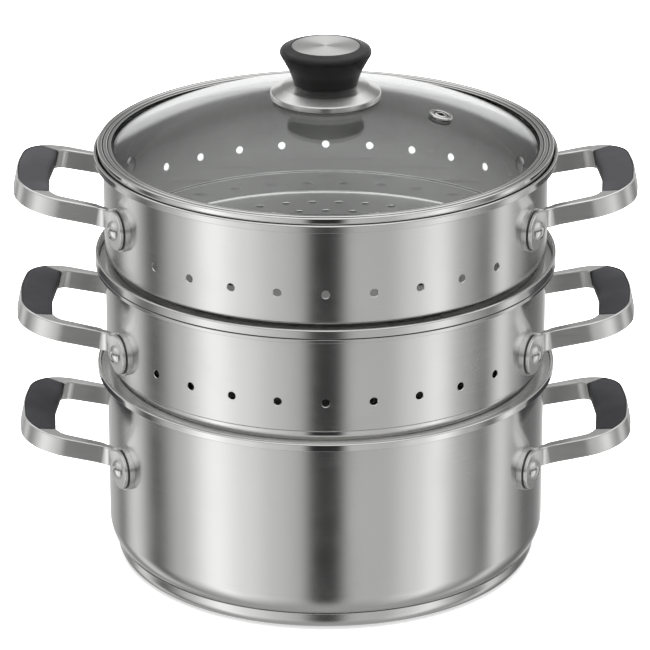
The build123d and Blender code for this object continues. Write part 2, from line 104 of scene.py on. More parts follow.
class SteamerVessels(bpy.types.PropertyGroup):
    """Sizes of the pot and its two tiers"""

    bore_radius: length("Bore radius", 140, "Inside radius of the pot and of both tiers")
    sheet: length("Sheet", 0.8, "Thickness of the steel")
    ledge_width: length("Ledge width", 4.1, "Step from the wall out to the neck")
    band_thickness: length("Band thickness", 2.0, "Thickness of the band round each mouth")
    band_rise: length("Band rise", 3.9, "Height of the band above the seat")
    deep_band_rise: length("Deep band rise", 7.8, "Height of the lower tier's band above its seat")
    groove_height: length("Groove height", 2.8, "Height of the crease in the deep band")
    nest_gap: length("Nest gap", 0.6, "Clearance between what nests")
    tier_pitch: length("Tier pitch", 71.2, "Height that each tier adds")
    pot_seat: length("Pot seat", 127.6, "Height of the seat in the pot's mouth")
    pot_corner: length("Pot corner", 20, "Rounding between the pot's wall and floor")
    core_thickness: length("Core thickness", 5, "Thickness of the disc in the base")
    cap_sheet: length("Cap sheet", 0.6, "Thickness of the base cap")
    cap_height: length("Cap height", 11.6, "Height of the base cap's edge")
    cap_corner: length("Cap corner", 8, "Rounding of the base cap")
    spigot_depth: length("Spigot depth", 6, "Depth that a tier's floor drops below its seat")
    flange_thickness: length("Foot flange", 1.6, "Thickness of the flange that a tier rests on")
    foot_band_height: length("Foot band", 9.4, "Height of the plain band at a tier's foot")


class SteamerHoles(bpy.types.PropertyGroup):
    """Sizes of the holes in the tiers"""

    side_radius: length("Side hole radius", 2.5, "Radius of the holes in the wall")
    side_drop: length("Side hole drop", 42.4, "Drop of the side holes below the seat")
    side_count: whole("Side holes", 9, "Holes in the front row and in the back row")
    side_pitch: turning("Side hole pitch", 12.1, "Angle from one side hole to the next")
    floor_radius: length("Floor hole radius", 2.5, "Radius of the holes in the floor")
    ring_pitch: length("Ring pitch", 17, "Distance from one ring of floor holes to the next")
    ring_count: whole("Rings", 7, "Rings of holes in the floor")
    chamfer: length("Punched edge", 0.3, "Width of the bright edge round each hole")


class SteamerHandles(bpy.types.PropertyGroup):
    """Sizes of the loop handles, their grips, feet and rivets"""

    projection: length("Projection", 56.6, "Reach of the loop beyond the wall")
    half_width: length("Half width", 51, "Half the width of the loop")
    height: length("Strap height", 12.6, "Height of the strap")
    tilt: turning("Tilt", 11.5, "Angle at which the loop rises")
    corner_share: factor("Corner share", 0.6, "Rounding of the loop's corners, by its half width")
    end_bow: length("End bow", 5, "Distance that the loop's end bows outward")
    end_round: length("End rounding", 150, "Rounding of the loop's bowed end")
    arm_foot: length("Arm at the foot", 5.8, "Thickness of the strap next to its foot")
    arm_grip: length("Arm at the grip", 8.4, "Thickness of the strap next to the grip")
    grip_width: length("Grip width", 22, "Width of the grip from the tip to the finger gap")
    grip_end_inset: length("Grip end inset", 12.5, "Distance from the loop's side to the end of the grip")
    grip_end_slant: length("Grip end slant", 9, "Slant of the ends of the grip")
    grip_wall: length("Wall round the grip", 0.8, "Steel left outside the grip")
    grip_floor: length("Floor under the grip", 2.4, "Steel left under the grip")
    grip_gap: length("Grip joint", 0.35, "Dark joint between grip and steel")
    grip_crown: length("Grip crown", 0.5, "Height that the grip rises above the steel")
    gap_corner: length("Gap corner", 8, "Rounding of the finger gap")
    gap_bow: length("Gap bow", 3, "Bow of the finger gap's outer edge")
    gap_end_round: length("Gap end rounding", 120, "Rounding of the finger gap's bowed edge")
    side_step: length("Foot side step", 12.8, "Distance from the loop's side out to the rivet")
    foot_width: length("Foot width", 24, "Width of the oval foot")
    foot_height: length("Foot height", 25, "Height of the oval foot")
    # The foot's dark joint is a band of painted shade.
    foot_shade_width: length("Foot joint", 0.9, "Width of the dark joint behind the foot")
    foot_thickness: length("Foot thickness", 3, "Thickness of the foot")
    plate_thickness: length("Plate thickness", 3, "Thickness of the plate behind the foot")
    rivet_below_arm: length("Rivet below arm", 4, "Drop of the rivet below the middle of the strap")
    pot_drop: length("Pot rivet drop", 49.1, "Rivets of the pot below its seat")
    lower_tier_drop: length("Lower tier rivet drop", 41.6, "Rivets of the lower tier below its seat")
    upper_tier_drop: length("Upper tier rivet drop", 29.8, "Rivets of the upper tier below its seat")
    rivet_radius: length("Rivet head", 6.1, "Radius of the rivet's outer head")
    rivet_dome: length("Rivet dome", 3.0, "Rise of the rivet's dome")
    rivet_edge: length("Rivet edge", 0.7, "Height of the straight edge of the rivet's head")
    rivet_inner_radius: length("Inner rivet head", 5, "Radius of the rivet's head inside the wall")


class SteamerLid(bpy.types.PropertyGroup):
    """Sizes of the lid's ring, glass and vent"""

    ring_height: length("Ring height", 7.9, "Height of the ring above its seat")
    groove_width: length("Ring groove width", 0.7, "Width of the grooves between the beads")
    groove_depth: length("Ring groove depth", 1.1, "Depth of the grooves between the beads")
    plug_depth: length("Plug depth", 4, "Depth of the plug below the seat")
    plug_width: length("Plug width", 1.6, "Thickness of the plug")
    ring_floor: length("Ring floor", 1.2, "Steel below the seal")
    ring_wall: length("Ring wall", 3.2, "Steel outside the seal")
    glass_thickness: length("Glass thickness", 4, "Thickness of the glass")
    glass_rise: length("Glass rise", 32.5, "Rise of the dome above the flat edge")
    glass_flange: length("Glass flange", 6, "Width of the flat edge")
    seal_gap: length("Seal", 0.5, "Thickness of the seal round the glass")
    centre_hole: length("Centre hole radius", 4, "Radius of the hole for the knob's screw")
    vent_distance: length("Vent distance", 73.6, "Distance of the vent from the axis")
    vent_angle: turning("Vent angle", -11.8, "Angle of the vent round the lid")
    vent_hole: length("Vent hole radius", 4.2, "Radius of the hole in the glass")
    vent_bore: length("Vent bore radius", 2.2, "Radius of the opening in the eyelet")
    vent_tube: length("Vent tube radius", 4, "Radius of the eyelet's tube")
    vent_flange: length("Vent flange radius", 7.4, "Radius of the eyelet's flange")
    vent_height: length("Vent flange height", 1.6, "Height of the eyelet's flange")


class SteamerKnob(bpy.types.PropertyGroup):
    """Sizes of the knob and the dish under it"""

    dish_radius: length("Dish radius", 34.9, "Radius of the steel dish")
    dish_rim: length("Dish rim", 3.6, "Height of the dish's upright rim")
    dish_rise: length("Dish rise", 5.8, "Rise from the rim to the knob")
    dish_sheet: length("Dish sheet", 1.0, "Thickness of the dish")
    flare_radius: length("Flare radius", 27.5, "Radius at which the dish flares")
    flare_rise: length("Flare rise", 3.7, "Rise from the rim to the flare")
    waist_radius: length("Waist radius", 20.2, "Radius of the knob's foot")
    knob_height: length("Knob height", 24.4, "Height of the knob")
    knob_radius: length("Knob radius", 28.9, "Largest radius of the knob")
    brim_drop: length("Brim drop", 2.2, "Fall of the brim from the disc to the knob's edge")
    brow_height: length("Brow height", 19.3, "Height at which the knob is widest")
    inlay_radius: length("Inlay radius", 21.4, "Radius of the steel disc on top")
    inlay_recess: length("Inlay recess", 1.1, "Depth of the recess for the disc")
    inlay_thickness: length("Inlay thickness", 0.8, "Thickness of the disc")
    seal_thickness: length("Gasket", 0.8, "Thickness of the gasket under the dish")
    seal_inset: length("Gasket inset", 0.4, "Distance from the dish's edge in to the gasket")


class SteamerFinishes(bpy.types.PropertyGroup):
    """Colours and surface of the materials"""

    steel: colour("Steel", (0.74, 0.74, 0.73), "Colour of the steel")
    grip: colour("Grip", (0.019, 0.019, 0.021), "Colour of the grips")
    knob: colour("Knob", (0.008, 0.008, 0.008), "Colour of the knob")
    seal: colour("Seals", (0.012, 0.012, 0.012), "Colour of the seals")
    glass: colour("Glass", (0.97, 0.985, 0.98), "Colour of the glass")
    wall_roughness: factor("Wall roughness", 0.2, "Roughness of the brushed walls")
    handle_roughness: factor("Handle roughness", 0.3, "Roughness of the handles")
    polish_roughness: factor("Polish roughness", 0.09, "Roughness of the polished rims")
    brush_depth: amount("Brush depth", 0.35, "Strength of the brush lines")


class SteamerStudio(bpy.types.PropertyGroup):
    """Camera, floor and light"""

    distance: length("Camera distance", 2601.8, "Distance from the camera to the middle of the pot")
    elevation: turning("Camera elevation", 21.62, "Angle of the camera above the floor")
    aim_height: length("Aim height", 152.2, "Height that the camera looks at")
    focal: amount("Focal length", 223.99, "Focal length of the camera in millimetres, on a 36 mm sensor")
    floor: colour("Floor", (0.93, 0.93, 0.93), "Colour of the floor")
    floor_glow: amount("Floor glow", 0.45, "Light that the floor gives off itself")
    light: amount("Overhead light", 240, "Power of the overhead light in watts")
    ring: amount("Studio brightness", 1.0, "Brightness of the studio all round")


def sizes(name):
    return getattr(bpy.context.scene, "steamer_" + name)


def seat_height(step):
    v = sizes("vessels")
    return v.pot_seat + STEPS.index(step) * v.tier_pitch


def wall_radius():
    v = sizes("vessels")
    return v.bore_radius + v.sheet


def neck_radius():
    return wall_radius() + sizes("vessels").ledge_width


def nest_radius():
    return neck_radius() - sizes("vessels").nest_gap


def spigot_radius():
    v = sizes("vessels")
    return v.bore_radius - v.nest_gap


# Turned pieces


def rounded(before, corner, after, rounding):
    """Entry, exit and centre of the rounding at a corner."""
    back = (before - corner).normalized()
    on = (after - corner).normalized()
    half = back.angle(on) / 2
    reach = rounding / tan(half)
    centre = corner + (back + on).normalized() * (rounding / sin(half))
    return corner + back * reach, corner + on * reach, centre


def straight_piece(start, end):
    run = (end - start).normalized()
    normal = Vector((run.y, -run.x))
    return (start, end, normal, normal)


def arc_pieces(start, end, centre):
    first = start - centre
    last = end - centre
    sweep = atan2(first.x * last.y - first.y * last.x, first.dot(last))
    radius = first.length
    count = max(2, ceil(abs(sweep) / ARC_STEP), ceil(abs(sweep) * radius / ARC_LENGTH))
    begin = atan2(first.y, first.x)
    outward = 1 if sweep > 0 else -1
    angles = [begin + sweep * i / count for i in range(count + 1)]
    rays = [Vector((cos(angle), sin(angle))) for angle in angles]
    points = [start] + [centre + ray * radius for ray in rays[1:-1]] + [end]
    normals = [ray * outward for ray in rays]
    return list(zip(points, points[1:], normals, normals[1:]))


def profile_pieces(outline):
    """Short pieces of a closed outline, each with the true normals at its two ends.

    A corner is (radius, height, rounding), and a fourth value is the centre of an arc that ends there.
    """
    corners = [Vector(corner[:2]) for corner in outline]
    ends = []
    for i, corner in enumerate(corners):
        rounding = outline[i][2]
        if rounding > 0:
            ends.append(rounded(corners[i - 1], corner, corners[(i + 1) % len(corners)], rounding))
        else:
            ends.append((corner, corner, None))
    pieces = []
    for i, (entry, leave, centre) in enumerate(ends):
        last = ends[i - 1][1]
        if len(outline[i]) > 3:
            pieces += arc_pieces(last, entry, Vector(outline[i][3]))
        elif (entry - last).length > NEAR:
            pieces.append(straight_piece(last, entry))
        if centre is not None:
            pieces += arc_pieces(entry, leave, centre)
    return pieces


def set_true_normals(mesh, pieces):
    """Gives faces that lie on the turned outline its exact normals, and leaves the others flat."""
    start, end, first, last = (np.array([list(piece[i]) for piece in pieces]) for i in range(4))
    run = end - start
    span = (run**2).sum(1)
    middle = first + last
    middle /= np.linalg.norm(middle, axis=1)[:, None]

    total = len(mesh.polygons)
    centres = np.empty(total * 3)
    facing = np.empty(total * 3)
    mesh.polygons.foreach_get("center", centres)
    mesh.polygons.foreach_get("normal", facing)
    centres = centres.reshape(-1, 3)
    facing = facing.reshape(-1, 3)
    radius = np.hypot(centres[:, 0], centres[:, 1])
    flat = np.stack([radius, centres[:, 2]], 1)
    outward = (facing[:, 0] * centres[:, 0] + facing[:, 1] * centres[:, 1]) / np.maximum(radius, NEAR)
    best = np.full(total, -1)
    gap_of_best = np.full(total, ON_OUTLINE)
    for k in range(len(pieces)):
        along = np.clip(((flat - start[k]) @ run[k]) / span[k], 0, 1)
        gap = np.linalg.norm(flat - start[k] - along[:, None] * run[k], axis=1)
        match = outward * middle[k, 0] + facing[:, 2] * middle[k, 1]
        better = (gap < gap_of_best) & (match > SAME_WAY)
        best[better] = k
        gap_of_best[better] = gap[better]

    loops = len(mesh.loops)
    corner = np.empty(loops, np.int32)
    counts = np.empty(total, np.int32)
    mesh.loops.foreach_get("vertex_index", corner)
    mesh.polygons.foreach_get("loop_total", counts)
    points = np.empty(len(mesh.vertices) * 3)
    mesh.vertices.foreach_get("co", points)
    points = points.reshape(-1, 3)[corner]
    face = np.repeat(np.arange(total), counts)
    piece = best[face]
    radius = np.hypot(points[:, 0], points[:, 1])
    flat = np.stack([radius, points[:, 2]], 1)
    along = np.clip(((flat - start[piece]) * run[piece]).sum(1) / span[piece], 0, 1)[:, None]
    normal = first[piece] * (1 - along) + last[piece] * along
    ray = points[:, :2] / np.maximum(radius, NEAR)[:, None]
    true = np.concatenate([ray * normal[:, :1], normal[:, 1:]], 1)
    true /= np.maximum(np.linalg.norm(true, axis=1), NEAR)[:, None]
    true = np.where((piece >= 0)[:, None], true, facing[face])
    mesh.polygons.foreach_set("use_smooth", np.ones(total, bool))
    mesh.normals_split_custom_set(true.tolist())


def turned_mesh(name, pieces, segments=SEGMENTS):
    """Closed mesh of revolution about Z. A flat end that reaches the axis is one face."""
    points = [piece[0] for piece in pieces]
    rings = {}
    vertices = []
    for i, point in enumerate(points):
        if point.x > NEAR:
            rings[i] = len(vertices)
            for j in range(segments):
                angle = 2 * pi * j / segments
                vertices.append((point.x * cos(angle), point.x * sin(angle), point.y))
    faces = []
    for i in range(len(points)):
        low, high = rings.get(i), rings.get((i + 1) % len(points))
        if low is None and high is None:
            continue
        if low is None:
            faces.append([high + j for j in reversed(range(segments))])
        elif high is None:
            faces.append([low + j for j in range(segments)])
        else:
            for j in range(segments):
                k = (j + 1) % segments
                faces.append([low + j, low + k, high + k, high + j])
    mesh = bpy.data.meshes.new(name)
    mesh.from_pydata(vertices, [], faces)
    mesh.update()
    return mesh


def turned(name, outline, segments=SEGMENTS):
    pieces = profile_pieces(outline)
    mesh = turned_mesh(name, pieces, segments)
    set_true_normals(mesh, pieces)
    return new_object(name, mesh)


def new_object(name, mesh):
    piece = bpy.data.objects.new(name, mesh)
    bpy.context.scene.collection.objects.link(piece)
    return piece


def dress(piece, body, slot, material, *nodes):
    """Gives a piece its finish if it has none, hangs it on the body that it moves with, and hides the
    nodes that it stands for.
    """
    if not piece.data.materials:
        piece.data.materials.append(material)
    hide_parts(*nodes)
    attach(piece, body)


def settle(piece):
    """Turns what a piece's modifiers make into its plain mesh."""
    graph = bpy.context.evaluated_depsgraph_get()
    mesh = bpy.data.meshes.new_from_object(
        piece.evaluated_get(graph), preserve_all_data_layers=True, depsgraph=graph
    )
    piece.modifiers.clear()
    piece.data = mesh
    mesh.name = piece.name
    return piece


def cut_away(piece, cutter):
    """Takes a cutter's shape out of a piece and removes the cutter."""
    cut = piece.modifiers.new("Cut", "BOOLEAN")
    cut.object = cutter
    cut.operation = "DIFFERENCE"
    cut.solver = "EXACT"
    settle(piece)
    bpy.data.objects.remove(cutter)


# Node trees


def socket_of(tree, value, target):
    if isinstance(value, bpy.types.NodeSocket):
        tree.links.new(value, target)
    else:
        target.default_value = value


def add(tree, kind, inputs=(), output=0, **settings):
    """Adds a node, sets or links its inputs by name or number, and returns one of its outputs."""
    node = tree.nodes.new(kind)
    for key, value in settings.items():
        setattr(node, key, value)
    pairs = inputs.items() if isinstance(inputs, dict) else enumerate(inputs)
    for key, value in pairs:
        socket_of(tree, value, node.inputs[key])
    return node.outputs[output]


def maths(tree, operation, *values):
    return add(tree, "ShaderNodeMath", values, operation=operation)


def split(tree, vector):
    """The X, Y and Z of a vector."""
    parts = tree.nodes.new("ShaderNodeSeparateXYZ")
    tree.links.new(vector, parts.inputs[0])
    return parts.outputs


def fade(tree, value, start, end, first=0.0, last=1.0):
    """Runs from first to last while the value goes from start to end."""
    values = {"Value": value, "From Min": start, "From Max": end, "To Min": first, "To Max": last}
    return add(tree, "ShaderNodeMapRange", values)


def noise(tree, place, scale, detail):
    return add(tree, "ShaderNodeTexNoise", {"Vector": place, "Scale": scale, "Detail": detail}, "Fac")


def on_circle(tree, angle, radius, height):
    """Point at an angle on a level circle."""
    x = maths(tree, "MULTIPLY", maths(tree, "COSINE", angle), radius)
    y = maths(tree, "MULTIPLY", maths(tree, "SINE", angle), radius)
    return add(tree, "ShaderNodeCombineXYZ", (x, y, height))


def mixed_colour(tree, share, first, second):
    values = {"Factor": share, "A": first, "B": second}
    return add(tree, "ShaderNodeMix", values, "Result", data_type="RGBA")


def tree_with(kind, name, inputs, outputs):
    """A node group with named inputs and outputs, and its input and output nodes."""
    tree = bpy.data.node_groups.new(name, kind)
    for label, socket, default in inputs:
        made = tree.interface.new_socket(label, in_out="INPUT", socket_type="NodeSocket" + socket)
        if default is not None:
            made.default_value = default
    for label, socket in outputs:
        tree.interface.new_socket(label, in_out="OUTPUT", socket_type="NodeSocket" + socket)
    return tree, tree.nodes.new("NodeGroupInput").outputs, tree.nodes.new("NodeGroupOutput").inputs


def grow(piece, tree, values):
    """Runs a geometry tree on a piece with the given inputs and keeps the plain mesh."""
    modifier = piece.modifiers.new(tree.name, "NODES")
    modifier.node_group = tree
    for item in tree.interface.items_tree:
        if item.in_out == "INPUT" and item.name in values:
            modifier[item.identifier] = values[item.name]
    return settle(piece)


def instances(tree, points, thing, tilt, angle):
    """Instances of an object on points, tipped about Y and then turned about Z."""
    geometry = add(tree, "GeometryNodeObjectInfo", {"Object": thing}, "Geometry")
    euler = add(tree, "ShaderNodeCombineXYZ", (0.0, tilt, angle))
    rotation = add(tree, "FunctionNodeEulerToRotation", (euler,))
    values = {"Points": points, "Instance": geometry, "Rotation": rotation}
    return add(tree, "GeometryNodeInstanceOnPoints", values)


def geometry_tree(name, inputs):
    """A geometry tree with a material input, and its input and output nodes."""
    inputs = [("Geometry", "Geometry", None), *inputs, ("Material", "Material", None)]
    return tree_with("GeometryNodeTree", name, inputs, [("Geometry", "Geometry")])


def finish_tree(tree, geometry, material, result):
    """Ends a geometry tree in a real mesh with its material."""
    real = add(tree, "GeometryNodeRealizeInstances", (geometry,))
    finished = add(tree, "GeometryNodeSetMaterial", {"Geometry": real, "Material": material})
    tree.links.new(finished, result[0])
    return tree


def perforation_tree():
    """Cuts two rows of holes through a tier's wall and rings of holes through its floor."""
    inputs = [
        ("Side Holes", "Int", 9),
        ("Side Pitch", "Float", 0.2),
        ("Side Height", "Float", 0.1),
        ("Wall Radius", "Float", 0.14),
        ("Side Punch", "Object", None),
        ("Rings", "Int", 7),
        ("Ring Pitch", "Float", 0.017),
        ("Floor Height", "Float", 0.1),
        ("Floor Punch", "Object", None),
    ]
    tree, given, result = geometry_tree("Perforations", inputs)
    index = add(tree, "GeometryNodeInputIndex")
    row = maths(tree, "FLOOR", maths(tree, "DIVIDE", index, given["Side Holes"]))
    place = maths(tree, "SUBTRACT", index, maths(tree, "MULTIPLY", row, given["Side Holes"]))
    middle = maths(tree, "DIVIDE", maths(tree, "SUBTRACT", given["Side Holes"], 1.0), 2.0)
    spread = maths(tree, "MULTIPLY", maths(tree, "SUBTRACT", place, middle), given["Side Pitch"])
    facing = maths(tree, "MULTIPLY_ADD", row, pi, -pi / 2)
    angle = maths(tree, "ADD", facing, spread)
    spot = on_circle(tree, angle, given["Wall Radius"], given["Side Height"])
    count = maths(tree, "MULTIPLY", given["Side Holes"], 2.0)
    points = add(tree, "GeometryNodePoints", {"Count": count, "Position": spot})
    side = instances(tree, points, given["Side Punch"], pi / 2, angle)

    # A floor hole's ring follows from its number: each ring holds six more than the one inside it, so
    # ring r ends at hole 3r(r + 1), and r is found from that. The 0.001 keeps the last hole in its ring.
    root = maths(tree, "SQRT", maths(tree, "MULTIPLY_ADD", index, 12.0, 9.0))
    ring = maths(tree, "CEIL", maths(tree, "DIVIDE", maths(tree, "SUBTRACT", root, 3.001), 6.0))
    pairs = maths(tree, "MULTIPLY", ring, maths(tree, "SUBTRACT", ring, 1.0))
    inside = maths(tree, "MULTIPLY", pairs, 3.0)
    place = maths(tree, "SUBTRACT", maths(tree, "SUBTRACT", index, inside), 1.0)
    in_ring = maths(tree, "MAXIMUM", maths(tree, "MULTIPLY", ring, 6.0), 1.0)
    angle = maths(tree, "DIVIDE", maths(tree, "MULTIPLY", place, 2 * pi), in_ring)
    out = maths(tree, "MULTIPLY", ring, given["Ring Pitch"])
    spot = on_circle(tree, angle, out, given["Floor Height"])
    more = maths(tree, "ADD", given["Rings"], 1.0)
    total = maths(tree, "MULTIPLY_ADD", maths(tree, "MULTIPLY", given["Rings"], more), 3.0, 1.0)
    points = add(tree, "GeometryNodePoints", {"Count": total, "Position": spot})
    floor = instances(tree, points, given["Floor Punch"], 0.0, 0.0)

    punches = tree.nodes.new("GeometryNodeJoinGeometry")
    tree.links.new(side, punches.inputs[0])
    tree.links.new(floor, punches.inputs[0])
    punches = add(tree, "GeometryNodeRealizeInstances", (punches.outputs[0],))
    cut = add(
        tree,
        "GeometryNodeMeshBoolean",
        {"Mesh 1": given["Geometry"], "Mesh 2": punches},
        operation="DIFFERENCE",
        solver="MANIFOLD",
    )
    return finish_tree(tree, cut, given["Material"], result)


def rivet_tree():
    """Sets four rivets round a vessel, two to each handle."""
    inputs = [
        ("Rivet", "Object", None),
        ("Foot Angle", "Float", 0.4),
        ("Height", "Float", 0.1),
    ]
    tree, given, result = geometry_tree("Rivets", inputs)
    index = add(tree, "GeometryNodeInputIndex")
    side = maths(tree, "FLOOR", maths(tree, "DIVIDE", index, 2.0))
    which = maths(tree, "SUBTRACT", index, maths(tree, "MULTIPLY", side, 2.0))
    sign = maths(tree, "MULTIPLY_ADD", which, 2.0, -1.0)
    angle = maths(tree, "MULTIPLY_ADD", side, pi, maths(tree, "MULTIPLY", sign, given["Foot Angle"]))
    spot = add(tree, "ShaderNodeCombineXYZ", (0.0, 0.0, given["Height"]))
    points = add(tree, "GeometryNodePoints", {"Count": 4, "Position": spot})
    placed = instances(tree, points, given["Rivet"], pi / 2, angle)
    return finish_tree(tree, placed, given["Material"], result)


# Surface effects

# Brush lines: how close they lie, how much they vary along their run, and their detail.
BRUSH_FINENESS = 2600.0
BRUSH_RUN = 22.0
BRUSH_DETAIL = 3.0

# Handling marks: sizes in metres, the noise values between which a smudge comes up, and a scratch's
# width as a share of its size.
SMUDGE_SIZE = 0.04
SMUDGE_DETAIL = 4.0
SMUDGE_RANGE = (0.45, 0.75)
SCRATCH_SIZE = 0.01
SCRATCH_WIDTH = 0.012

# Steel: shade and height of its lines, and what lines, smudges and scratches add to its roughness.
LINE_SHADE = 0.9
LINE_HEIGHT = 0.02 * MM
LINE_ROUGHNESS = 0.12
SMUDGE_ROUGHNESS = 0.05
SCRATCH_ROUGHNESS = 0.06
QUARTER_TURN = 0.25
SPUN_FINENESS = 3500.0

# Moulded pieces: size and height of the grain, and the paler and smoother places where they are worn.
GRAIN_SIZE = 0.35 * MM
GRAIN_HEIGHT = 0.03 * MM
GRAIN_DETAIL = 2.0
WORN_GAIN = 1.35
WORN_LIFT = 0.004
WORN_ROUGHNESS = -0.06
MOULDED_SCRATCH_SIZE = 0.006
MOULDED_SCRATCH_DEPTH = -0.3

# Glass: its refraction, and the thin film that handling leaves on it.
GLASS_IOR = 1.45
FILM_SIZE = 0.07
FILM_ROUGHNESS = 0.02


def brush_group():
    """Fine lines that run level round the piece, or ring its axis on flat faces."""
    inputs = [
        ("Vector", "Vector", None),
        ("Fineness", "Float", BRUSH_FINENESS),
        ("Run", "Float", BRUSH_RUN),
    ]
    outputs = [("Lines", "Float"), ("Rings", "Float")]
    tree, given, result = tree_with("ShaderNodeTree", "Brush lines", inputs, outputs)
    scale = add(tree, "ShaderNodeCombineXYZ", (given["Run"], given["Run"], given["Fineness"]))
    level = add(tree, "ShaderNodeVectorMath", (given["Vector"], scale), operation="MULTIPLY")
    tree.links.new(noise(tree, level, 1.0, BRUSH_DETAIL), result["Lines"])
    x, y = split(tree, given["Vector"])[:2]
    squares = maths(tree, "ADD", maths(tree, "MULTIPLY", x, x), maths(tree, "MULTIPLY", y, y))
    fine = maths(tree, "MULTIPLY", maths(tree, "SQRT", squares), given["Fineness"])
    across = maths(tree, "MULTIPLY", x, given["Run"])
    along = maths(tree, "MULTIPLY", y, given["Run"])
    ringed = add(tree, "ShaderNodeCombineXYZ", (fine, across, along))
    tree.links.new(noise(tree, ringed, 1.0, BRUSH_DETAIL), result["Rings"])
    return tree


def wear_group():
    """Soft smudges from handling and cleaning, and thin scratches in all directions."""
    inputs = [
        ("Vector", "Vector", None),
        ("Smudge Size", "Float", SMUDGE_SIZE),
        ("Scratch Size", "Float", SCRATCH_SIZE),
    ]
    outputs = [("Smudge", "Float"), ("Scratch", "Float")]
    tree, given, result = tree_with("ShaderNodeTree", "Wear", inputs, outputs)
    scale = maths(tree, "DIVIDE", 1.0, given["Smudge Size"])
    smudge = fade(tree, noise(tree, given["Vector"], scale, SMUDGE_DETAIL), *SMUDGE_RANGE)
    tree.links.new(smudge, result["Smudge"])
    scale = maths(tree, "DIVIDE", 1.0, given["Scratch Size"])
    values = {"Vector": given["Vector"], "Scale": scale, "Randomness": 1.0}
    cells = add(tree, "ShaderNodeTexVoronoi", values, "Distance", feature="DISTANCE_TO_EDGE")
    scratch = fade(tree, cells, 0.0, SCRATCH_WIDTH, 1.0, 0.0)
    tree.links.new(maths(tree, "MULTIPLY", scratch, smudge), result["Scratch"])
    return tree


def group_of(name, make):
    return bpy.data.node_groups.get(name) or make()


def use_group(tree, group, values):
    node = tree.nodes.new("ShaderNodeGroup")
    node.node_tree = group
    for key, value in values.items():
        socket_of(tree, value, node.inputs[key])
    return node.outputs


def new_material(name):
    """A material, its tree and its surface shader."""
    material = bpy.data.materials.new(name)
    material.use_nodes = True
    tree = material.node_tree
    return material, tree, tree.nodes["Principled BSDF"]


def object_place(tree):
    return add(tree, "ShaderNodeTexCoord", output="Object")


def roughen(tree, start, *effects):
    """Adds up the masks that change a roughness, each times its amount."""
    for mask, size in effects:
        start = maths(tree, "MULTIPLY_ADD", mask, size, start)
    return start


def emboss(tree, shader, strength, distance, height):
    values = {"Strength": strength, "Distance": distance, "Height": height}
    tree.links.new(add(tree, "ShaderNodeBump", values, "Normal"), shader.inputs["Normal"])


def steel_material(name, tint, roughness, fineness=BRUSH_FINENESS, flat=False, anisotropy=0.5, depth=1.0):
    """Brushed or polished steel, its lines level round the piece or in rings on a flat face."""
    finishes = sizes("finishes")
    material, tree, shader = new_material(name)
    place = object_place(tree)
    brush = use_group(tree, group_of("Brush lines", brush_group), {"Vector": place, "Fineness": fineness})
    wear = use_group(tree, group_of("Wear", wear_group), {"Vector": place})
    lines = brush["Rings"] if flat else brush["Lines"]
    steel = [channel * tint for channel in finishes.steel]
    darker = [channel * LINE_SHADE for channel in steel]
    tree.links.new(mixed_colour(tree, lines, darker + [1.0], steel + [1.0]), shader.inputs["Base Color"])
    shader.inputs["Metallic"].default_value = 1.0
    effects = (
        (lines, LINE_ROUGHNESS),
        (wear["Smudge"], SMUDGE_ROUGHNESS),
        (wear["Scratch"], SCRATCH_ROUGHNESS),
    )
    tree.links.new(roughen(tree, roughness - LINE_ROUGHNESS / 2, *effects), shader.inputs["Roughness"])
    shader.inputs["Anisotropic"].default_value = anisotropy
    shader.inputs["Anisotropic Rotation"].default_value = QUARTER_TURN
    around = add(tree, "ShaderNodeTangent", direction_type="RADIAL", axis="Z")
    tree.links.new(around, shader.inputs["Tangent"])
    emboss(tree, shader, finishes.brush_depth * depth, LINE_HEIGHT, lines)
    return material


def moulded_material(name, tint, roughness, shine=0.5, grain_depth=0.25):
    """Moulded plastic or rubber with a fine grain and a little handling wear."""
    material, tree, shader = new_material(name)
    place = object_place(tree)
    values = {"Vector": place, "Scratch Size": MOULDED_SCRATCH_SIZE}
    wear = use_group(tree, group_of("Wear", wear_group), values)
    base = list(tint) + [1.0]
    worn = [min(1.0, channel * WORN_GAIN + WORN_LIFT) for channel in tint] + [1.0]
    tree.links.new(mixed_colour(tree, wear["Smudge"], base, worn), shader.inputs["Base Color"])
    uneven = roughen(tree, roughness, (wear["Smudge"], WORN_ROUGHNESS))
    tree.links.new(uneven, shader.inputs["Roughness"])
    shader.inputs["Specular IOR Level"].default_value = shine
    grain = noise(tree, place, 1 / GRAIN_SIZE, GRAIN_DETAIL)
    height = maths(tree, "MULTIPLY_ADD", wear["Scratch"], MOULDED_SCRATCH_DEPTH, grain)
    emboss(tree, shader, grain_depth, GRAIN_HEIGHT, height)
    return material


def glass_material(name):
    """Clear glass that lets light through to the tier below."""
    material, tree, shader = new_material(name)
    place = object_place(tree)
    clear_colour = list(sizes("finishes").glass) + [1.0]
    shader.inputs["Base Color"].default_value = clear_colour
    shader.inputs["Transmission Weight"].default_value = 1.0
    shader.inputs["IOR"].default_value = GLASS_IOR
    wear = use_group(tree, group_of("Wear", wear_group), {"Vector": place, "Smudge Size": FILM_SIZE})
    film = maths(tree, "MULTIPLY", wear["Smudge"], FILM_ROUGHNESS)
    tree.links.new(film, shader.inputs["Roughness"])
    clear = add(tree, "ShaderNodeBsdfTransparent", {"Color": clear_colour})
    shadow = add(tree, "ShaderNodeLightPath", output="Is Shadow Ray")
    mixed = add(tree, "ShaderNodeMixShader", (shadow, shader.outputs[0], clear))
    tree.links.new(mixed, tree.nodes["Material Output"].inputs["Surface"])
    return material


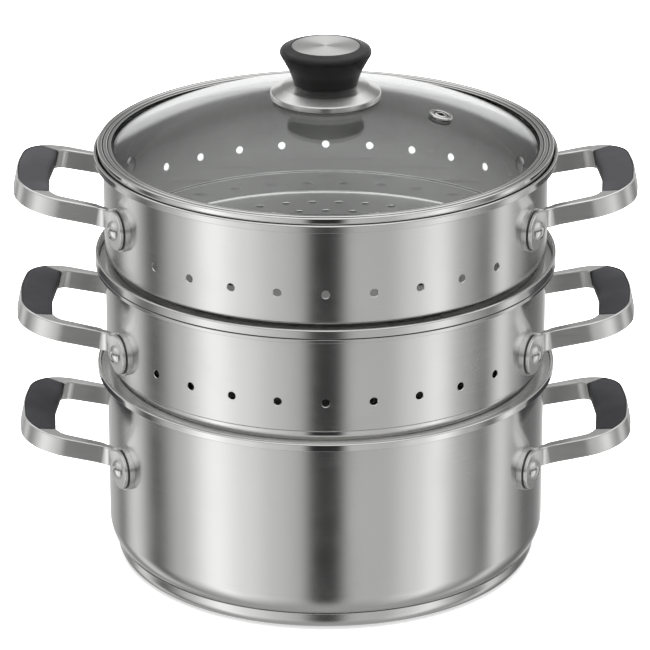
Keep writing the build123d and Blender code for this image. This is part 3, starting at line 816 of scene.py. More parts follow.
def steel_finishes():
    """Tint and roughness of each metal, and where it differs from plain brushed steel."""
    finishes = sizes("finishes")
    return {
        "vessel steel": (1.0, finishes.wall_roughness, {}),
        "rim steel": (1.06, finishes.polish_roughness, {"depth": 0.4}),
        # Floor and inside steel are darkened as painted shade, and rougher.
        "floor steel": (0.1, 0.36, {"flat": True}),
        "inside steel": (0.6, 0.36, {}),
        # Near-black steel painted into joints and creases as shade.
        "steel joint": (0.12, 0.4, {"anisotropy": 0.0}),
        "handle steel": (1.15, finishes.handle_roughness, {"anisotropy": 0.0, "depth": 0.6}),
        "rivet steel": (1.05, 0.2, {"anisotropy": 0.0, "depth": 0.3}),
        "polished steel": (1.08, 0.07, {"anisotropy": 0.0, "depth": 0.15}),
        "spun steel": (1.08, 0.22, {"fineness": SPUN_FINENESS, "flat": True, "anisotropy": 0.85}),
        "inlay steel": (1.28, 0.3, {"fineness": SPUN_FINENESS, "flat": True, "anisotropy": 0.9}),
        "core aluminium": (1.1, 0.4, {"anisotropy": 0.0}),
    }


def moulded_finishes():
    """Colour and roughness of each plastic or rubber, with its shine and grain where they differ."""
    finishes = sizes("finishes")
    return {
        "grip plastic": (finishes.grip, 0.6, {"shine": 0.25}),
        "knob plastic": (finishes.knob, 0.33, {"shine": 0.18, "grain_depth": 0.08}),
        "seal silicone": (finishes.seal, 0.5, {}),
    }


def material_of(name):
    """The material with a name, made when the first piece needs it."""
    made = bpy.data.materials.get(name)
    if made or name == "lid glass":
        return made or glass_material(name)
    for finishes, make in ((steel_finishes(), steel_material), (moulded_finishes(), moulded_material)):
        if name in finishes:
            tint, roughness, options = finishes[name]
            return make(name, tint, roughness, **options)
    raise KeyError(name)


# Pot and tiers

# Pressed shapes: fillet under the seat, lower edge of the band, and the crease in the deep band.
SEAT_FILLET = 0.8 * MM
BAND_EDGE = 0.4 * MM
GROOVE_HALF_WIDTH = 0.45 * MM
GROOVE_DEPTH = 0.6 * MM

# A tier's foot: corner of the spigot, fillet over the flange, and the slope out to the wall.
SPIGOT_CORNER = 3 * MM
FLANGE_FILLET = 0.2 * MM
SLOPE_ROUND = 0.4 * MM
SLOPE_RISE = 1 * MM

# The base cap's clearance to the pot, and the two roundings of its edge.
CAP_GAP = 0.1 * MM
CAP_OUTER_EDGE = 0.25 * MM
CAP_INNER_EDGE = 0.1 * MM

# Faces with a finish of their own: places of the materials, and where each finish ends; the inside and
# the floor are darker steel as painted shade. The rim's reaches this many thicknesses of sheet below the
# seat.
RIM_FINISH, INSIDE_SHADE, FLOOR_SHADE = 1, 2, 3
RIM_SHEETS = 1.5
POLISHED_DEPTH = 9 * MM
SHOULDER_RISE = 0.8 * MM
LEVEL = 0.9

# Painted shade in the joints: off the wall, out under the band as a share of it, and half the height of
# the crease.
SHADE_START = 0.05 * MM
SHADE_SHARE = 0.55
CREASE_SHADE_HALF = 0.5 * MM

SIDE_PUNCH_SEGMENTS = 28
FLOOR_PUNCH_SEGMENTS = 20


def mouth_outline(seat, rise, grooved):
    """Stepped seat and band, from the outside of the wall over the band to the bore."""
    v = sizes("vessels")
    wall, neck = wall_radius(), neck_radius()
    band = neck + v.band_thickness
    under = seat - v.sheet
    top = seat + rise
    outline = [(wall, under, SEAT_FILLET), (band, under, BAND_EDGE)]
    if grooved:
        groove = under + v.groove_height
        outline += [
            (band, groove - GROOVE_HALF_WIDTH, EDGE),
            (band - GROOVE_DEPTH, groove, EDGE / 2),
            (band, groove + GROOVE_HALF_WIDTH, EDGE),
        ]
    rounding = (v.band_thickness - EDGE) / 2
    outline += [(band, top, rounding), (neck, top, rounding), (neck, seat, EDGE)]
    return outline + [(v.bore_radius, seat, EDGE)]


def pot_outline():
    v = sizes("vessels")
    under = v.cap_sheet + v.core_thickness
    outline = [(0, under, 0), (wall_radius(), under, v.pot_corner)]
    outline += mouth_outline(v.pot_seat, v.band_rise, False)
    inner = v.pot_corner - v.sheet
    return outline + [(v.bore_radius, under + v.sheet, inner), (0, under + v.sheet, 0)]


def cap_outline():
    v = sizes("vessels")
    rise = v.cap_sheet + v.core_thickness + v.pot_corner - v.cap_height
    outer = wall_radius() - v.pot_corner + sqrt(v.pot_corner**2 - rise**2) + CAP_GAP + v.cap_sheet
    inner = outer - v.cap_sheet
    return [
        (0, 0, 0),
        (outer, 0, v.cap_corner),
        (outer, v.cap_height, CAP_OUTER_EDGE),
        (inner, v.cap_height, CAP_INNER_EDGE),
        (inner, v.cap_sheet, v.cap_corner - v.cap_sheet),
        (0, v.cap_sheet, 0),
    ]


def tier_outline(step):
    v = sizes("vessels")
    seat = seat_height(step)
    under = seat - v.tier_pitch
    floor = under - v.spigot_depth
    crease = under + v.foot_band_height
    spigot = spigot_radius()
    grooved = step == "lower_tier"
    outline = [
        (0, floor, 0),
        (spigot, floor, SPIGOT_CORNER),
        (spigot, under, 0),
        (nest_radius(), under, EDGE),
        (nest_radius(), under + v.flange_thickness, EDGE),
        (spigot, under + v.flange_thickness, FLANGE_FILLET),
        (spigot, crease, SLOPE_ROUND),
        (wall_radius(), crease + SLOPE_RISE, SLOPE_ROUND),
    ]
    outline += mouth_outline(seat, v.deep_band_rise if grooved else v.band_rise, grooved)
    return outline + [
        (v.bore_radius, crease + SLOPE_RISE, SLOPE_ROUND),
        (spigot - v.sheet, crease, SLOPE_ROUND),
        (spigot - v.sheet, floor + v.sheet, SPIGOT_CORNER - v.sheet),
        (0, floor + v.sheet, 0),
    ]


def punch(name, radius, segments):
    """Cutter for one hole, flared at both faces of the sheet."""
    half = sizes("vessels").sheet / 2
    chamfer = sizes("holes").chamfer
    flare = radius + OVERRUN - half + chamfer
    outline = [
        (0, -OVERRUN, 0),
        (flare, -OVERRUN, 0),
        (radius, chamfer - half, 0),
        (radius, half - chamfer, 0),
        (flare, OVERRUN, 0),
        (0, OVERRUN, 0),
    ]
    return new_object(name, turned_mesh(name, profile_pieces(outline), segments))


def finish_zones(piece, step):
    """Polishes the band and the top of the bore, and paints shade on the inside and the floor with
    darker, rougher steel.
    """
    v = sizes("vessels")
    seat = seat_height(step)
    for name in ("rim steel", "inside steel", "floor steel"):
        piece.data.materials.append(material_of(name))
    rim = seat - v.sheet * RIM_SHEETS
    polished = seat - POLISHED_DEPTH
    bore = v.bore_radius + SLACK
    foot = seat - v.tier_pitch + v.flange_thickness
    shoulder = foot if step == "pot" else seat - v.tier_pitch + v.foot_band_height + SHOULDER_RISE
    for face in piece.data.polygons:
        x, y, z = face.center
        radius = hypot(x, y)
        in_bore = face.normal.x * x + face.normal.y * y < 0 and radius < bore
        # The floor, the inside and the channel over a tier's foot take steel darkened as painted shade.
        if abs(face.normal.z) > LEVEL and radius < v.bore_radius and z < rim:
            face.material_index = FLOOR_SHADE
        elif z > rim or (z > polished and in_bore):
            face.material_index = RIM_FINISH
        elif in_bore or foot < z < shoulder:
            face.material_index = INSIDE_SHADE


def paint_shade_zones(piece, zones):
    """Paints shade on the faces in narrow joints and creases with a near-black steel. A zone is a range
    of radius and one of height.
    """
    piece.data.materials.append(material_of("steel joint"))
    dark = len(piece.data.materials) - 1
    for face in piece.data.polygons:
        out, z = hypot(face.center.x, face.center.y), face.center.z
        if any(near < out < far and low < z < high for near, far, low, high in zones):
            face.material_index = dark


def mouth_shade_zones(step):
    """Places of painted shade under the band, in the lower tier's crease and between the upper tier and
    the lid.
    """
    v = sizes("vessels")
    seat = seat_height(step)
    wall, neck = wall_radius(), neck_radius()
    under = seat - v.sheet
    zones = [(wall + SHADE_START, neck + SHADE_SHARE * v.band_thickness, under - 2 * EDGE, under + EDGE)]
    if step == "upper_tier":
        zones.append((neck - EDGE / 2, neck + EDGE / 2, seat + EDGE, seat + v.band_rise + EDGE))
    if step == "lower_tier":
        groove = under + v.groove_height
        low, high = groove - CREASE_SHADE_HALF, groove + CREASE_SHADE_HALF
        zones.append((wall, neck + v.band_thickness - SLACK, low, high))
    return zones


def rivet_height(step):
    return seat_height(step) - getattr(sizes("handles"), step + "_drop")


class STEAMER_OT_pot(bpy.types.Operator):
    """Turns the pot and the cap that closes its base"""

    bl_idname = "steamer.pot"
    bl_label = "Pot and base"

    def execute(self, context):
        pot = turned("pot_vessel", pot_outline())
        dress(pot, "pot", "vessel_steel", material_of("vessel steel"), "pot_body")
        # The inside and the floor take darker steel as painted shade.
        finish_zones(pot, "pot")
        # Dark steel painted under the band as shade.
        paint_shade_zones(pot, mouth_shade_zones("pot"))
        cap = turned("pot_base_cup", cap_outline())
        dress(cap, "pot", "base_steel", material_of("vessel steel"), "pot_base_cap")
        return {"FINISHED"}


class STEAMER_OT_tiers(bpy.types.Operator):
    """Turns the two steamer tiers and punches their walls and floors"""

    bl_idname = "steamer.tiers"
    bl_label = "Steamer tiers"

    def execute(self, context):
        v, holes = sizes("vessels"), sizes("holes")
        tree = perforation_tree()
        side = punch("side_punch", holes.side_radius, SIDE_PUNCH_SEGMENTS)
        floor = punch("floor_punch", holes.floor_radius, FLOOR_PUNCH_SEGMENTS)
        for step in STEPS[1:]:
            seat = seat_height(step)
            pieces = profile_pieces(tier_outline(step))
            tier = new_object(step + "_vessel", turned_mesh(step + "_vessel", pieces))
            values = {
                "Side Holes": holes.side_count,
                "Side Pitch": holes.side_pitch,
                "Side Height": seat - holes.side_drop,
                "Wall Radius": v.bore_radius + v.sheet / 2,
                "Side Punch": side,
                "Rings": holes.ring_count,
                "Ring Pitch": holes.ring_pitch,
                "Floor Height": seat - v.tier_pitch - v.spigot_depth + v.sheet / 2,
                "Floor Punch": floor,
                "Material": material_of("vessel steel"),
            }
            grow(tier, tree, values)
            set_true_normals(tier.data, pieces)
            dress(tier, step, "vessel_steel", material_of("vessel steel"), step + "_body")
            # The inside, the floor and the channel over the foot take darker steel as painted shade.
            finish_zones(tier, step)
            # Dark steel painted as shade under the band, in the crease and at the lid's seat.
            paint_shade_zones(tier, mouth_shade_zones(step))
        for cutter in (side, floor):
            bpy.data.objects.remove(cutter)
        return {"FINISHED"}


# Handles

# Stations along the foot, as shares of the way from its rounded end to the bend into the arm.
FOOT_STATIONS = (
    0.0, 0.004, 0.012, 0.025, 0.045, 0.075, 0.11, 0.16, 0.22, 0.3, 0.4, 0.5, 0.6, 0.7, 0.78, 0.86, 0.93
)

# Bends from foot to arm, and the points along each part of the loop.
OUTER_BEND = 7 * MM
INNER_BEND = 9 * MM
BEND_POINTS = 10
ARM_POINTS = 10
CORNER_POINTS = 28
END_POINTS = 4
TIP_POINTS = 8

# The oval foot narrows into the arm: its slope past the oval, the slope and start of the arm's fade over
# the foot, and how widely foot and arm blend below, above and beyond the rivet.
FOOT_SLOPE = 3
FADE_SLOPE = 3
FADE_START = 2 * MM
BLEND_BELOW = 9 * MM
BLEND_ABOVE = 4 * MM
BLEND_BEYOND = 1 * MM

# Edges of the strap: outside, inside on the arm and inside on the foot, and where one turns to the other.
STRAP_ROUND = 1.0 * MM
ARM_ROUND = 0.9 * MM
FOOT_ROUND = 0.15 * MM
FOOT_FROM = 14 * MM
FOOT_TURN = 6 * MM
ROUND_POINTS = 6

# The loop starts to tilt this far off the foot and does so over this length.
TILT_START = 0.8 * MM
TILT_LENGTH = 5 * MM

# The grip: its points along and across, its clearances, and the shape of its ends, edge and shoulder.
GRIP_CORNER_POINTS = 24
GRIP_STATIONS = 90
GRIP_POINTS = 8
POCKET_REACH = 6 * MM
GRIP_LIFT = 0.05 * MM
GRIP_TRIM = 4 * MM
GRIP_END_DIPS = (0.7 * MM, 0.15 * MM)
GRIP_EDGE = 0.4 * MM
GRIP_EDGE_STEPS = ((0.0, 0.6 * MM), (0.12 * MM, 0.3 * MM), (GRIP_EDGE, 0.1 * MM))
GRIP_SHOULDER = 4.5 * MM
SHOULDER_SHARE = 0.85

SHARP_CAST_EDGE = 32
SHARP_RIVET_EDGE = 40
NORMAL_WEIGHT = 60

# The dark band of painted shade behind a foot stands this far out past the foot's edge.
SHADE_PROUD = 0.12 * MM
SHADE_RING_POINTS = 72

# Rivets: clearance inside the wall, inner head, shank, and the small flat at a head's pole.
RIVET_GAP = 0.1 * MM
INNER_HEAD_EDGE = 0.5 * MM
INNER_HEAD_DOME = 1.0 * MM
RIVET_SHANK = 2.5 * MM
RIVET_POLE = 0.05 * MM
RIVET_SEGMENTS = 48


def foot_angle():
    h = sizes("handles")
    return asin((h.half_width + h.side_step) / foot_face())


def plate_face():
    return wall_radius() + sizes("handles").plate_thickness


def foot_face():
    return plate_face() + sizes("handles").foot_thickness


def foot_point(face, along):
    """Point on an upright face of the foot, a distance along it from the rivet."""
    turn = foot_angle()
    return Vector((face * cos(turn) - along * sin(turn), face * sin(turn) + along * cos(turn)))


def along_foot(face, y):
    """Distance from the rivet at which a face of the foot reaches a width."""
    turn = foot_angle()
    return (y - face * sin(turn)) / cos(turn)


def loop_pivot():
    """Distance from the axis to the line at the foot about which the loop tilts up."""
    return foot_point(foot_face(), along_foot(foot_face(), sizes("handles").half_width)).x


def loop_reach():
    """Distance from the axis to the loop's tip, along the loop's own tilted plane."""
    h = sizes("handles")
    pivot = loop_pivot()
    return pivot + (wall_radius() + h.projection - pivot) / cos(h.tilt)


def spaced(start, end, count):
    """Points from start up to but not including end."""
    return [start.lerp(end, i / count) for i in range(count)]


def round_corner(before, corner, after, rounding, count):
    entry, leave, centre = rounded(before, corner, after, rounding)
    first, last = entry - centre, leave - centre
    sweep = atan2(first.x * last.y - first.y * last.x, first.dot(last))
    return [centre + Matrix.Rotation(sweep * i / count, 2) @ first for i in range(count + 1)]


def end_corners(inset):
    """Corner and tip of the loop's bowed end on the +Y half, drawn in by inset, and their roundings."""
    h = sizes("handles")
    slope = h.end_bow / h.half_width
    tip = loop_reach() - inset * sqrt(1 + slope**2)
    half = h.half_width - inset
    corner = Vector((tip - slope * half, half))
    return corner, Vector((tip, 0)), h.half_width * h.corner_share - inset, h.end_round - inset


def bowed_end(start, corner, tip, corner_round, tip_round, corner_points=CORNER_POINTS):
    """Points from the start of the corner's rounding to the middle of a bowed end."""
    turn = round_corner(start, corner, tip, corner_round, corner_points)
    bow = round_corner(corner, tip, Vector((corner.x, -corner.y)), tip_round, 2 * TIP_POINTS)
    return turn[:-1] + spaced(turn[-1], bow[0], END_POINTS) + bow[: TIP_POINTS + 1]


def loop_lines():
    """Matching points along the outside and inside of half the loop, from the foot's end to the tip."""
    h = sizes("handles")
    out_face, in_face = foot_face(), plate_face()
    in_foot_y = h.half_width - h.arm_foot
    in_tip_y = h.half_width - h.arm_grip
    inner_x = loop_reach() - h.grip_width
    half = h.foot_width / 2
    out_corner = foot_point(out_face, along_foot(out_face, h.half_width))
    in_corner = foot_point(in_face, along_foot(in_face, in_foot_y))
    out_far, out_tip, corner_round, end_round = end_corners(0)
    in_far, in_tip = Vector((inner_x - h.gap_bow, in_tip_y)), Vector((inner_x, 0))

    out_bend = round_corner(foot_point(out_face, 0), out_corner, out_far, OUTER_BEND, BEND_POINTS)
    in_bend = round_corner(foot_point(in_face, 0), in_corner, in_far, INNER_BEND, BEND_POINTS)
    out_end = bowed_end(out_corner, out_far, out_tip, corner_round, end_round)
    in_end = bowed_end(in_corner, in_far, in_tip, h.gap_corner, h.gap_end_round)
    outside, inside = [], []
    for share in FOOT_STATIONS:
        outside.append(foot_point(out_face, half).lerp(out_bend[0], share))
        inside.append(foot_point(in_face, half).lerp(in_bend[0], share))
    outside += out_bend[:-1] + spaced(out_bend[-1], out_end[0], ARM_POINTS) + out_end
    inside += in_bend[:-1] + spaced(in_bend[-1], in_end[0], ARM_POINTS) + in_end
    return outside, inside


def soft_least(a, b, blend):
    """The lesser of two values, blended smoothly where they are close."""
    return min(a, b) - max(blend - abs(a - b), 0) ** 2 / (4 * blend)


def strap_heights(along):
    """Lowest and highest point of the strap or foot, from the distance along it to the rivet."""
    h = sizes("handles")
    half_width, half_height = h.foot_width / 2, h.foot_height / 2
    corner = half_width - EDGE
    straight = half_height - corner
    inward = max(abs(along) - (half_width - corner), 0)
    if inward < corner:
        oval = straight + sqrt(corner**2 - inward**2)
    else:
        oval = straight - (inward - corner) * FOOT_SLOPE
    arm = h.height / 2 - max(along + FADE_START, 0) * FADE_SLOPE
    low = soft_least(-h.rivet_below_arm - oval, -arm, BLEND_BELOW if along < 0 else BLEND_BEYOND)
    high = -soft_least(h.rivet_below_arm - oval, -arm, BLEND_ABOVE if along < 0 else BLEND_BEYOND)
    return low, high


def strap_ring(outside, inside, low, high, outer_round, inner_round):
    """Section of the strap between its outer and inner face, as a ring of points."""
    across = inside - outside
    width = across.length
    run = across / width
    ring = []
    corners = (
        (outer_round, low + outer_round, outer_round, 180),
        (width - inner_round, low + inner_round, inner_round, 270),
        (width - inner_round, high - inner_round, inner_round, 0),
        (outer_round, high - outer_round, outer_round, 90),
    )
    for t, z, rounding, begin in corners:
        for i in range(ROUND_POINTS):
            angle = radians(begin + 90 * i / (ROUND_POINTS - 1))
            spot = outside + run * (t + rounding * cos(angle))
            ring.append(Vector((spot.x, spot.y, z + rounding * sin(angle))))
    return ring


def swept_mesh(name, rings):
    """Closed mesh through rings of points, with a flat face over each end."""
    count = len(rings[0])
    vertices = [point for ring in rings for point in ring]
    faces = [list(range(count)), [(len(rings) - 1) * count + i for i in reversed(range(count))]]
    for i in range(len(rings) - 1):
        for j in range(count):
            k = (j + 1) % count
            faces.append([i * count + j, (i + 1) * count + j, (i + 1) * count + k, i * count + k])
    mesh = bpy.data.meshes.new(name)
    mesh.from_pydata([tuple(vertex) for vertex in vertices], [], faces)
    face_outwards(mesh)
    return mesh


def face_outwards(mesh):
    work = bmesh.new()
    work.from_mesh(mesh)
    bmesh.ops.remove_doubles(work, verts=work.verts, dist=NEAR)
    bmesh.ops.recalc_face_normals(work, faces=work.faces)
    work.to_mesh(mesh)
    work.free()
    mesh.update()


def grip_start(cut_inset):
    """Where the grip's slanted end meets the finger gap on the +Y half, and the way it runs out."""
    h = sizes("handles")
    y = h.half_width - h.grip_end_inset - cut_inset
    share = y / (h.half_width - h.arm_grip)
    start = Vector((loop_reach() - h.grip_width - h.gap_bow * share, y))
    return start, Vector((h.grip_width, h.grip_end_slant)).normalized()


def outer_grip_line(inset, cut_inset):
    """Outside of the grip, drawn in by inset, from one slanted end to the other."""
    start, run = grip_start(cut_inset)
    corner, tip, corner_round, end_round = end_corners(inset)
    side = Vector((loop_pivot(), corner.y))
    line = bowed_end(side, corner, tip, corner_round, end_round, GRIP_CORNER_POINTS)
    beyond = [run.x * (p.y - start.y) - run.y * (p.x - start.x) for p in line]
    first = next(i for i, distance in enumerate(beyond) if distance < 0)
    share = beyond[first - 1] / (beyond[first - 1] - beyond[first])
    half = [line[first - 1].lerp(line[first], share)] + line[first:-1]
    return half + [line[-1]] + [Vector((p.x, -p.y)) for p in reversed(half)]


def evenly(points, count):
    """Points spaced evenly along a line."""
    spots = np.array([tuple(point) for point in points])
    steps = np.concatenate([[0], np.cumsum(np.linalg.norm(np.diff(spots, axis=0), axis=1))])
    where = np.linspace(0, steps[-1], count)
    return [Vector((np.interp(d, steps, spots[:, 0]), np.interp(d, steps, spots[:, 1]))) for d in where]


def pocket_object():
    """Prism that clears the pocket for the grip out of the strap."""
    h = sizes("handles")
    outside = outer_grip_line(h.grip_wall, 0)
    start = grip_start(0)[0]
    away = (start - outside[0]).normalized() * POCKET_REACH
    inner = start + away
    plan = outside + [Vector((inner.x, -inner.y)), inner]
    low = h.grip_floor - h.height / 2
    rings = [[Vector((p.x, p.y, z)) for p in plan] for z in (low, h.height)]
    return new_object("grip_pocket", swept_mesh("grip_pocket", rings))


def tip_up(mesh, height):
    """Tilts what stands off the foot up about it, and sets the whole at its height."""
    h = sizes("handles")
    pivot = loop_pivot()
    begin = pivot + TILT_START
    for vertex in mesh.vertices:
        x, y, z = vertex.co
        share = min(max((x - begin) / TILT_LENGTH, 0), 1)
        tilt = h.tilt * share * share * (3 - 2 * share)
        off = x - pivot
        vertex.co = (
            pivot + off * cos(tilt) - z * sin(tilt),
            y,
            off * sin(tilt) + z * cos(tilt) + height + h.rivet_below_arm,
        )
    mesh.update()


def handle_object(name):
    """Cast loop with two feet, lying level, with the pocket for the grip."""
    h = sizes("handles")
    outside, inside = loop_lines()
    middle = [(a + b) / 2 for a, b in zip(outside, inside)]
    half = h.foot_width / 2
    rivet = (foot_point(foot_face(), 0) + foot_point(plate_face(), 0)) / 2
    end = (foot_point(foot_face(), half) + foot_point(plate_face(), half)) / 2
    along = (end - rivet).length
    rings = []
    for i, (out, into) in enumerate(zip(outside, inside)):
        if i:
            along -= (middle[i] - middle[i - 1]).length
        low, high = strap_heights(along)
        on_foot = min(max((along + FOOT_FROM) / FOOT_TURN, 0), 1)
        inner_round = ARM_ROUND * (1 - on_foot) + FOOT_ROUND * on_foot
        edge = half - along
        if edge < STRAP_ROUND:
            drawn_in = STRAP_ROUND - sqrt(STRAP_ROUND**2 - (STRAP_ROUND - edge) ** 2)
            out = out.lerp(into, drawn_in / (into - out).length)
        rings.append(strap_ring(out, into, low, high, STRAP_ROUND, inner_round))
    mirrored = [[Vector((p.x, -p.y, p.z)) for p in ring] for ring in reversed(rings[:-1])]
    strap = new_object(name, swept_mesh(name, rings + mirrored))
    cut_away(strap, pocket_object())
    return strap


def grip_section(width):
    """Outline of the grip across its width, from its foot over the crown and the shoulder."""
    h = sizes("handles")
    low = h.grip_floor - h.height / 2 + GRIP_LIFT
    top = h.height / 2
    section = [(0, low)] + [(across, top - drop) for across, drop in GRIP_EDGE_STEPS]
    for k in range(1, GRIP_POINTS + 1):
        t = GRIP_EDGE + (width - GRIP_SHOULDER - GRIP_EDGE) * k / GRIP_POINTS
        crown = h.grip_crown * sin(pi * t / width)
        section.append((t, top + crown - GRIP_EDGE_STEPS[-1][1] * (1 - k / GRIP_POINTS)))
    t, z = section[-1]
    for k in range(1, GRIP_POINTS + 1):
        angle = pi / 2 * k / GRIP_POINTS
        fall = GRIP_SHOULDER * SHOULDER_SHARE * (1 - cos(angle))
        section.append((t + GRIP_SHOULDER * sin(angle), z - fall))
    return section + [(width, low)]


def grip_object(name):
    """Moulded grip, crowned on top and rounded over at the finger gap, lying level."""
    h = sizes("handles")
    joint = h.grip_gap
    outer = evenly(outer_grip_line(h.grip_wall + joint, joint), GRIP_STATIONS)
    start = grip_start(joint)[0]
    gap_line = loop_lines()[1]
    half = [start] + [point for point in gap_line if point.y < start.y and point.x > start.x - GRIP_TRIM]
    inner = evenly(half + [Vector((p.x, -p.y)) for p in reversed(half[:-1])], GRIP_STATIONS)
    rings = []
    for i, (out, into) in enumerate(zip(outer, inner)):
        from_end = min(i, GRIP_STATIONS - 1 - i)
        dip = GRIP_END_DIPS[from_end] if from_end < len(GRIP_END_DIPS) else 0.0
        width = (into - out).length
        run = (into - out) / width
        section = grip_section(width)
        low = section[0][1]
        ring = [Vector((out.x + run.x * t, out.y + run.y * t, max(low, z - dip))) for t, z in section]
        rings.append(ring)
    return new_object(name, swept_mesh(name, rings))


def smooth_over(piece, angle):
    """Smooth shading that keeps edges sharper than an angle."""
    mesh = piece.data
    mesh.polygons.foreach_set("use_smooth", np.ones(len(mesh.polygons), bool))
    mesh.set_sharp_from_angle(angle=radians(angle))
    even = piece.modifiers.new("Even normals", "WEIGHTED_NORMAL")
    even.keep_sharp = True
    even.weight = NORMAL_WEIGHT
    settle(piece)


def place_round(make, body_slot, material, label):
    """Makes one handle or grip for every side of every vessel from the same mesh."""
    master = make(label)
    for step in STEPS:
        for side, angle in SIDES.items():
            mesh = master.data.copy()
            tip_up(mesh, rivet_height(step))
            mesh.transform(Matrix.Rotation(angle, 4, "Z"))
            piece = new_object(f"{step}_{label}_{side}_cast", mesh)
            mesh.name = piece.name
            smooth_over(piece, SHARP_CAST_EDGE)
            dress(piece, step, body_slot, material_of(material), f"{step}_{label}_{side}")
    bpy.data.objects.remove(master)


def foot_shade_ring(depth, mirror, side, height):
    """Outline of the band of painted shade behind one foot, at a distance out from the vessel's axis."""
    h = sizes("handles")
    corner = h.foot_width / 2 - EDGE
    straight = h.foot_height / 2 - corner
    reach = corner + SHADE_PROUD
    ring = []
    for i in range(SHADE_RING_POINTS):
        turn = 2 * pi * (i + 0.5) / SHADE_RING_POINTS
        along = copysign(EDGE, cos(turn)) + reach * cos(turn)
        up = copysign(straight, sin(turn)) + reach * sin(turn)
        spot = foot_point(depth, along)
        spot = Matrix.Rotation(side, 2) @ Vector((spot.x, spot.y * mirror))
        ring.append((spot.x, spot.y, height + up))
    return ring


def foot_shade_bands(step):
    """Dark bands of painted shade between a vessel's four feet and their plates, a little proud of the
    feet.
    """
    depths = (plate_face(), plate_face() + sizes("handles").foot_shade_width)
    points, faces = [], []
    for side in SIDES.values():
        for mirror in (1, -1):
            back = [len(points) + i for i in range(SHADE_RING_POINTS)]
            front = [i + SHADE_RING_POINTS for i in back]
            for depth in depths:
                points += foot_shade_ring(depth, mirror, side, rivet_height(step))
            faces += [back, front]
            corners = zip(back, back[1:] + back[:1], front, front[1:] + front[:1])
            faces += [(a, b, d, c) for a, b, c, d in corners]
    mesh = bpy.data.meshes.new(step + "_foot_joints")
    mesh.from_pydata(points, [], faces)
    face_outwards(mesh)
    return new_object(mesh.name, mesh)


def rivet_outline():
    """Outline of a rivet round its own axis, from the head inside the wall to the outer head."""
    h = sizes("handles")
    flat = sqrt(sizes("vessels").bore_radius ** 2 - h.rivet_inner_radius**2) - RIVET_GAP
    inner_edge = flat - INNER_HEAD_EDGE
    inner_top = inner_edge - INNER_HEAD_DOME
    outer_edge = foot_face() + h.rivet_edge
    outer_top = outer_edge + h.rivet_dome
    inner_ball = (h.rivet_inner_radius**2 + INNER_HEAD_DOME**2) / (2 * INNER_HEAD_DOME)
    outer_ball = (h.rivet_radius**2 + h.rivet_dome**2) / (2 * h.rivet_dome)
    return [
        (RIVET_POLE, inner_top, 0),
        (h.rivet_inner_radius, inner_edge, 0, (0, inner_top + inner_ball)),
        (h.rivet_inner_radius, flat, 0),
        (RIVET_SHANK, flat, 0),
        (RIVET_SHANK, foot_face(), 0),
        (h.rivet_radius, foot_face(), 0),
        (h.rivet_radius, outer_edge, 0),
        (RIVET_POLE, outer_top, 0, (0, outer_top - outer_ball)),
        (0, outer_top, 0),
        (0, inner_top, 0),
    ]


class STEAMER_OT_handles(bpy.types.Operator):
    """Shapes the six cast handles and the bands of painted shade behind their feet"""

    bl_idname = "steamer.handles"
    bl_label = "Handles"

    def execute(self, context):
        place_round(handle_object, "handle_steel", "handle steel", "handle")
        for step in STEPS:
            # Dark bands behind the feet are painted shade.
            dress(foot_shade_bands(step), step, "handle_steel", material_of("steel joint"))
        return {"FINISHED"}


class STEAMER_OT_grips(bpy.types.Operator):
    """Shapes the six grips"""

    bl_idname = "steamer.grips"
    bl_label = "Grips"

    def execute(self, context):
        place_round(grip_object, "grip_plastic", "grip plastic", "grip")
        return {"FINISHED"}


class STEAMER_OT_rivets(bpy.types.Operator):
    """Sets four rivets into each vessel"""

    bl_idname = "steamer.rivets"
    bl_label = "Rivets"

    def execute(self, context):
        rivet = new_object("rivet", turned_mesh("rivet", profile_pieces(rivet_outline()), RIVET_SEGMENTS))
        tree = rivet_tree()
        for step in STEPS:
            base = new_object(step + "_rivet_set", bpy.data.meshes.new(step + "_rivet_set"))
            values = {
                "Rivet": rivet,
                "Foot Angle": foot_angle(),
                "Height": rivet_height(step),
                "Material": material_of("rivet steel"),
            }
            grow(base, tree, values)
            smooth_over(base, SHARP_RIVET_EDGE)
            nodes = [f"{step}_rivets_{side}" for side in SIDES]
            dress(base, step, "rivet_steel", material_of("rivet steel"), *nodes)
        bpy.data.objects.remove(rivet)
        return {"FINISHED"}


# Lid

# Beads of the ring from the outside in: width, drop below the top and rounding, in millimetres.
BEADS = ((3.0, 0.0, 0.9), (2.5, 0.1, 0.8), (1.9, 0.6, 0.4))

# Painted shade on the ring: drop of the inner shaded band below the top, and the shares of a groove's
# depth between which a groove is painted dark.
INNER_SHADE_DROP = 1.1 * MM
GROOVE_SHADE = (1.3, 0.35)

GLASS_SEGMENTS = 192
GLASS_EDGE = 0.9 * MM
DRILL_SEGMENTS = 48
DRILL_REACH = 8 * MM


def glass_edge():
    """Underside, top and radius of the glass's flat edge."""
    lid = sizes("lid")
    bottom = seat_height("upper_tier") + lid.ring_floor + lid.seal_gap
    return bottom, bottom + lid.glass_thickness, nest_radius() - lid.ring_wall - lid.seal_gap


def glass_dome():
    """Height of the centre and radius of the ball that the dome is cut from."""
    lid = sizes("lid")
    top, edge = glass_edge()[1:]
    start = edge - lid.glass_flange
    ball = (start**2 + lid.glass_rise**2) / (2 * lid.glass_rise)
    return top + lid.glass_rise - ball, ball


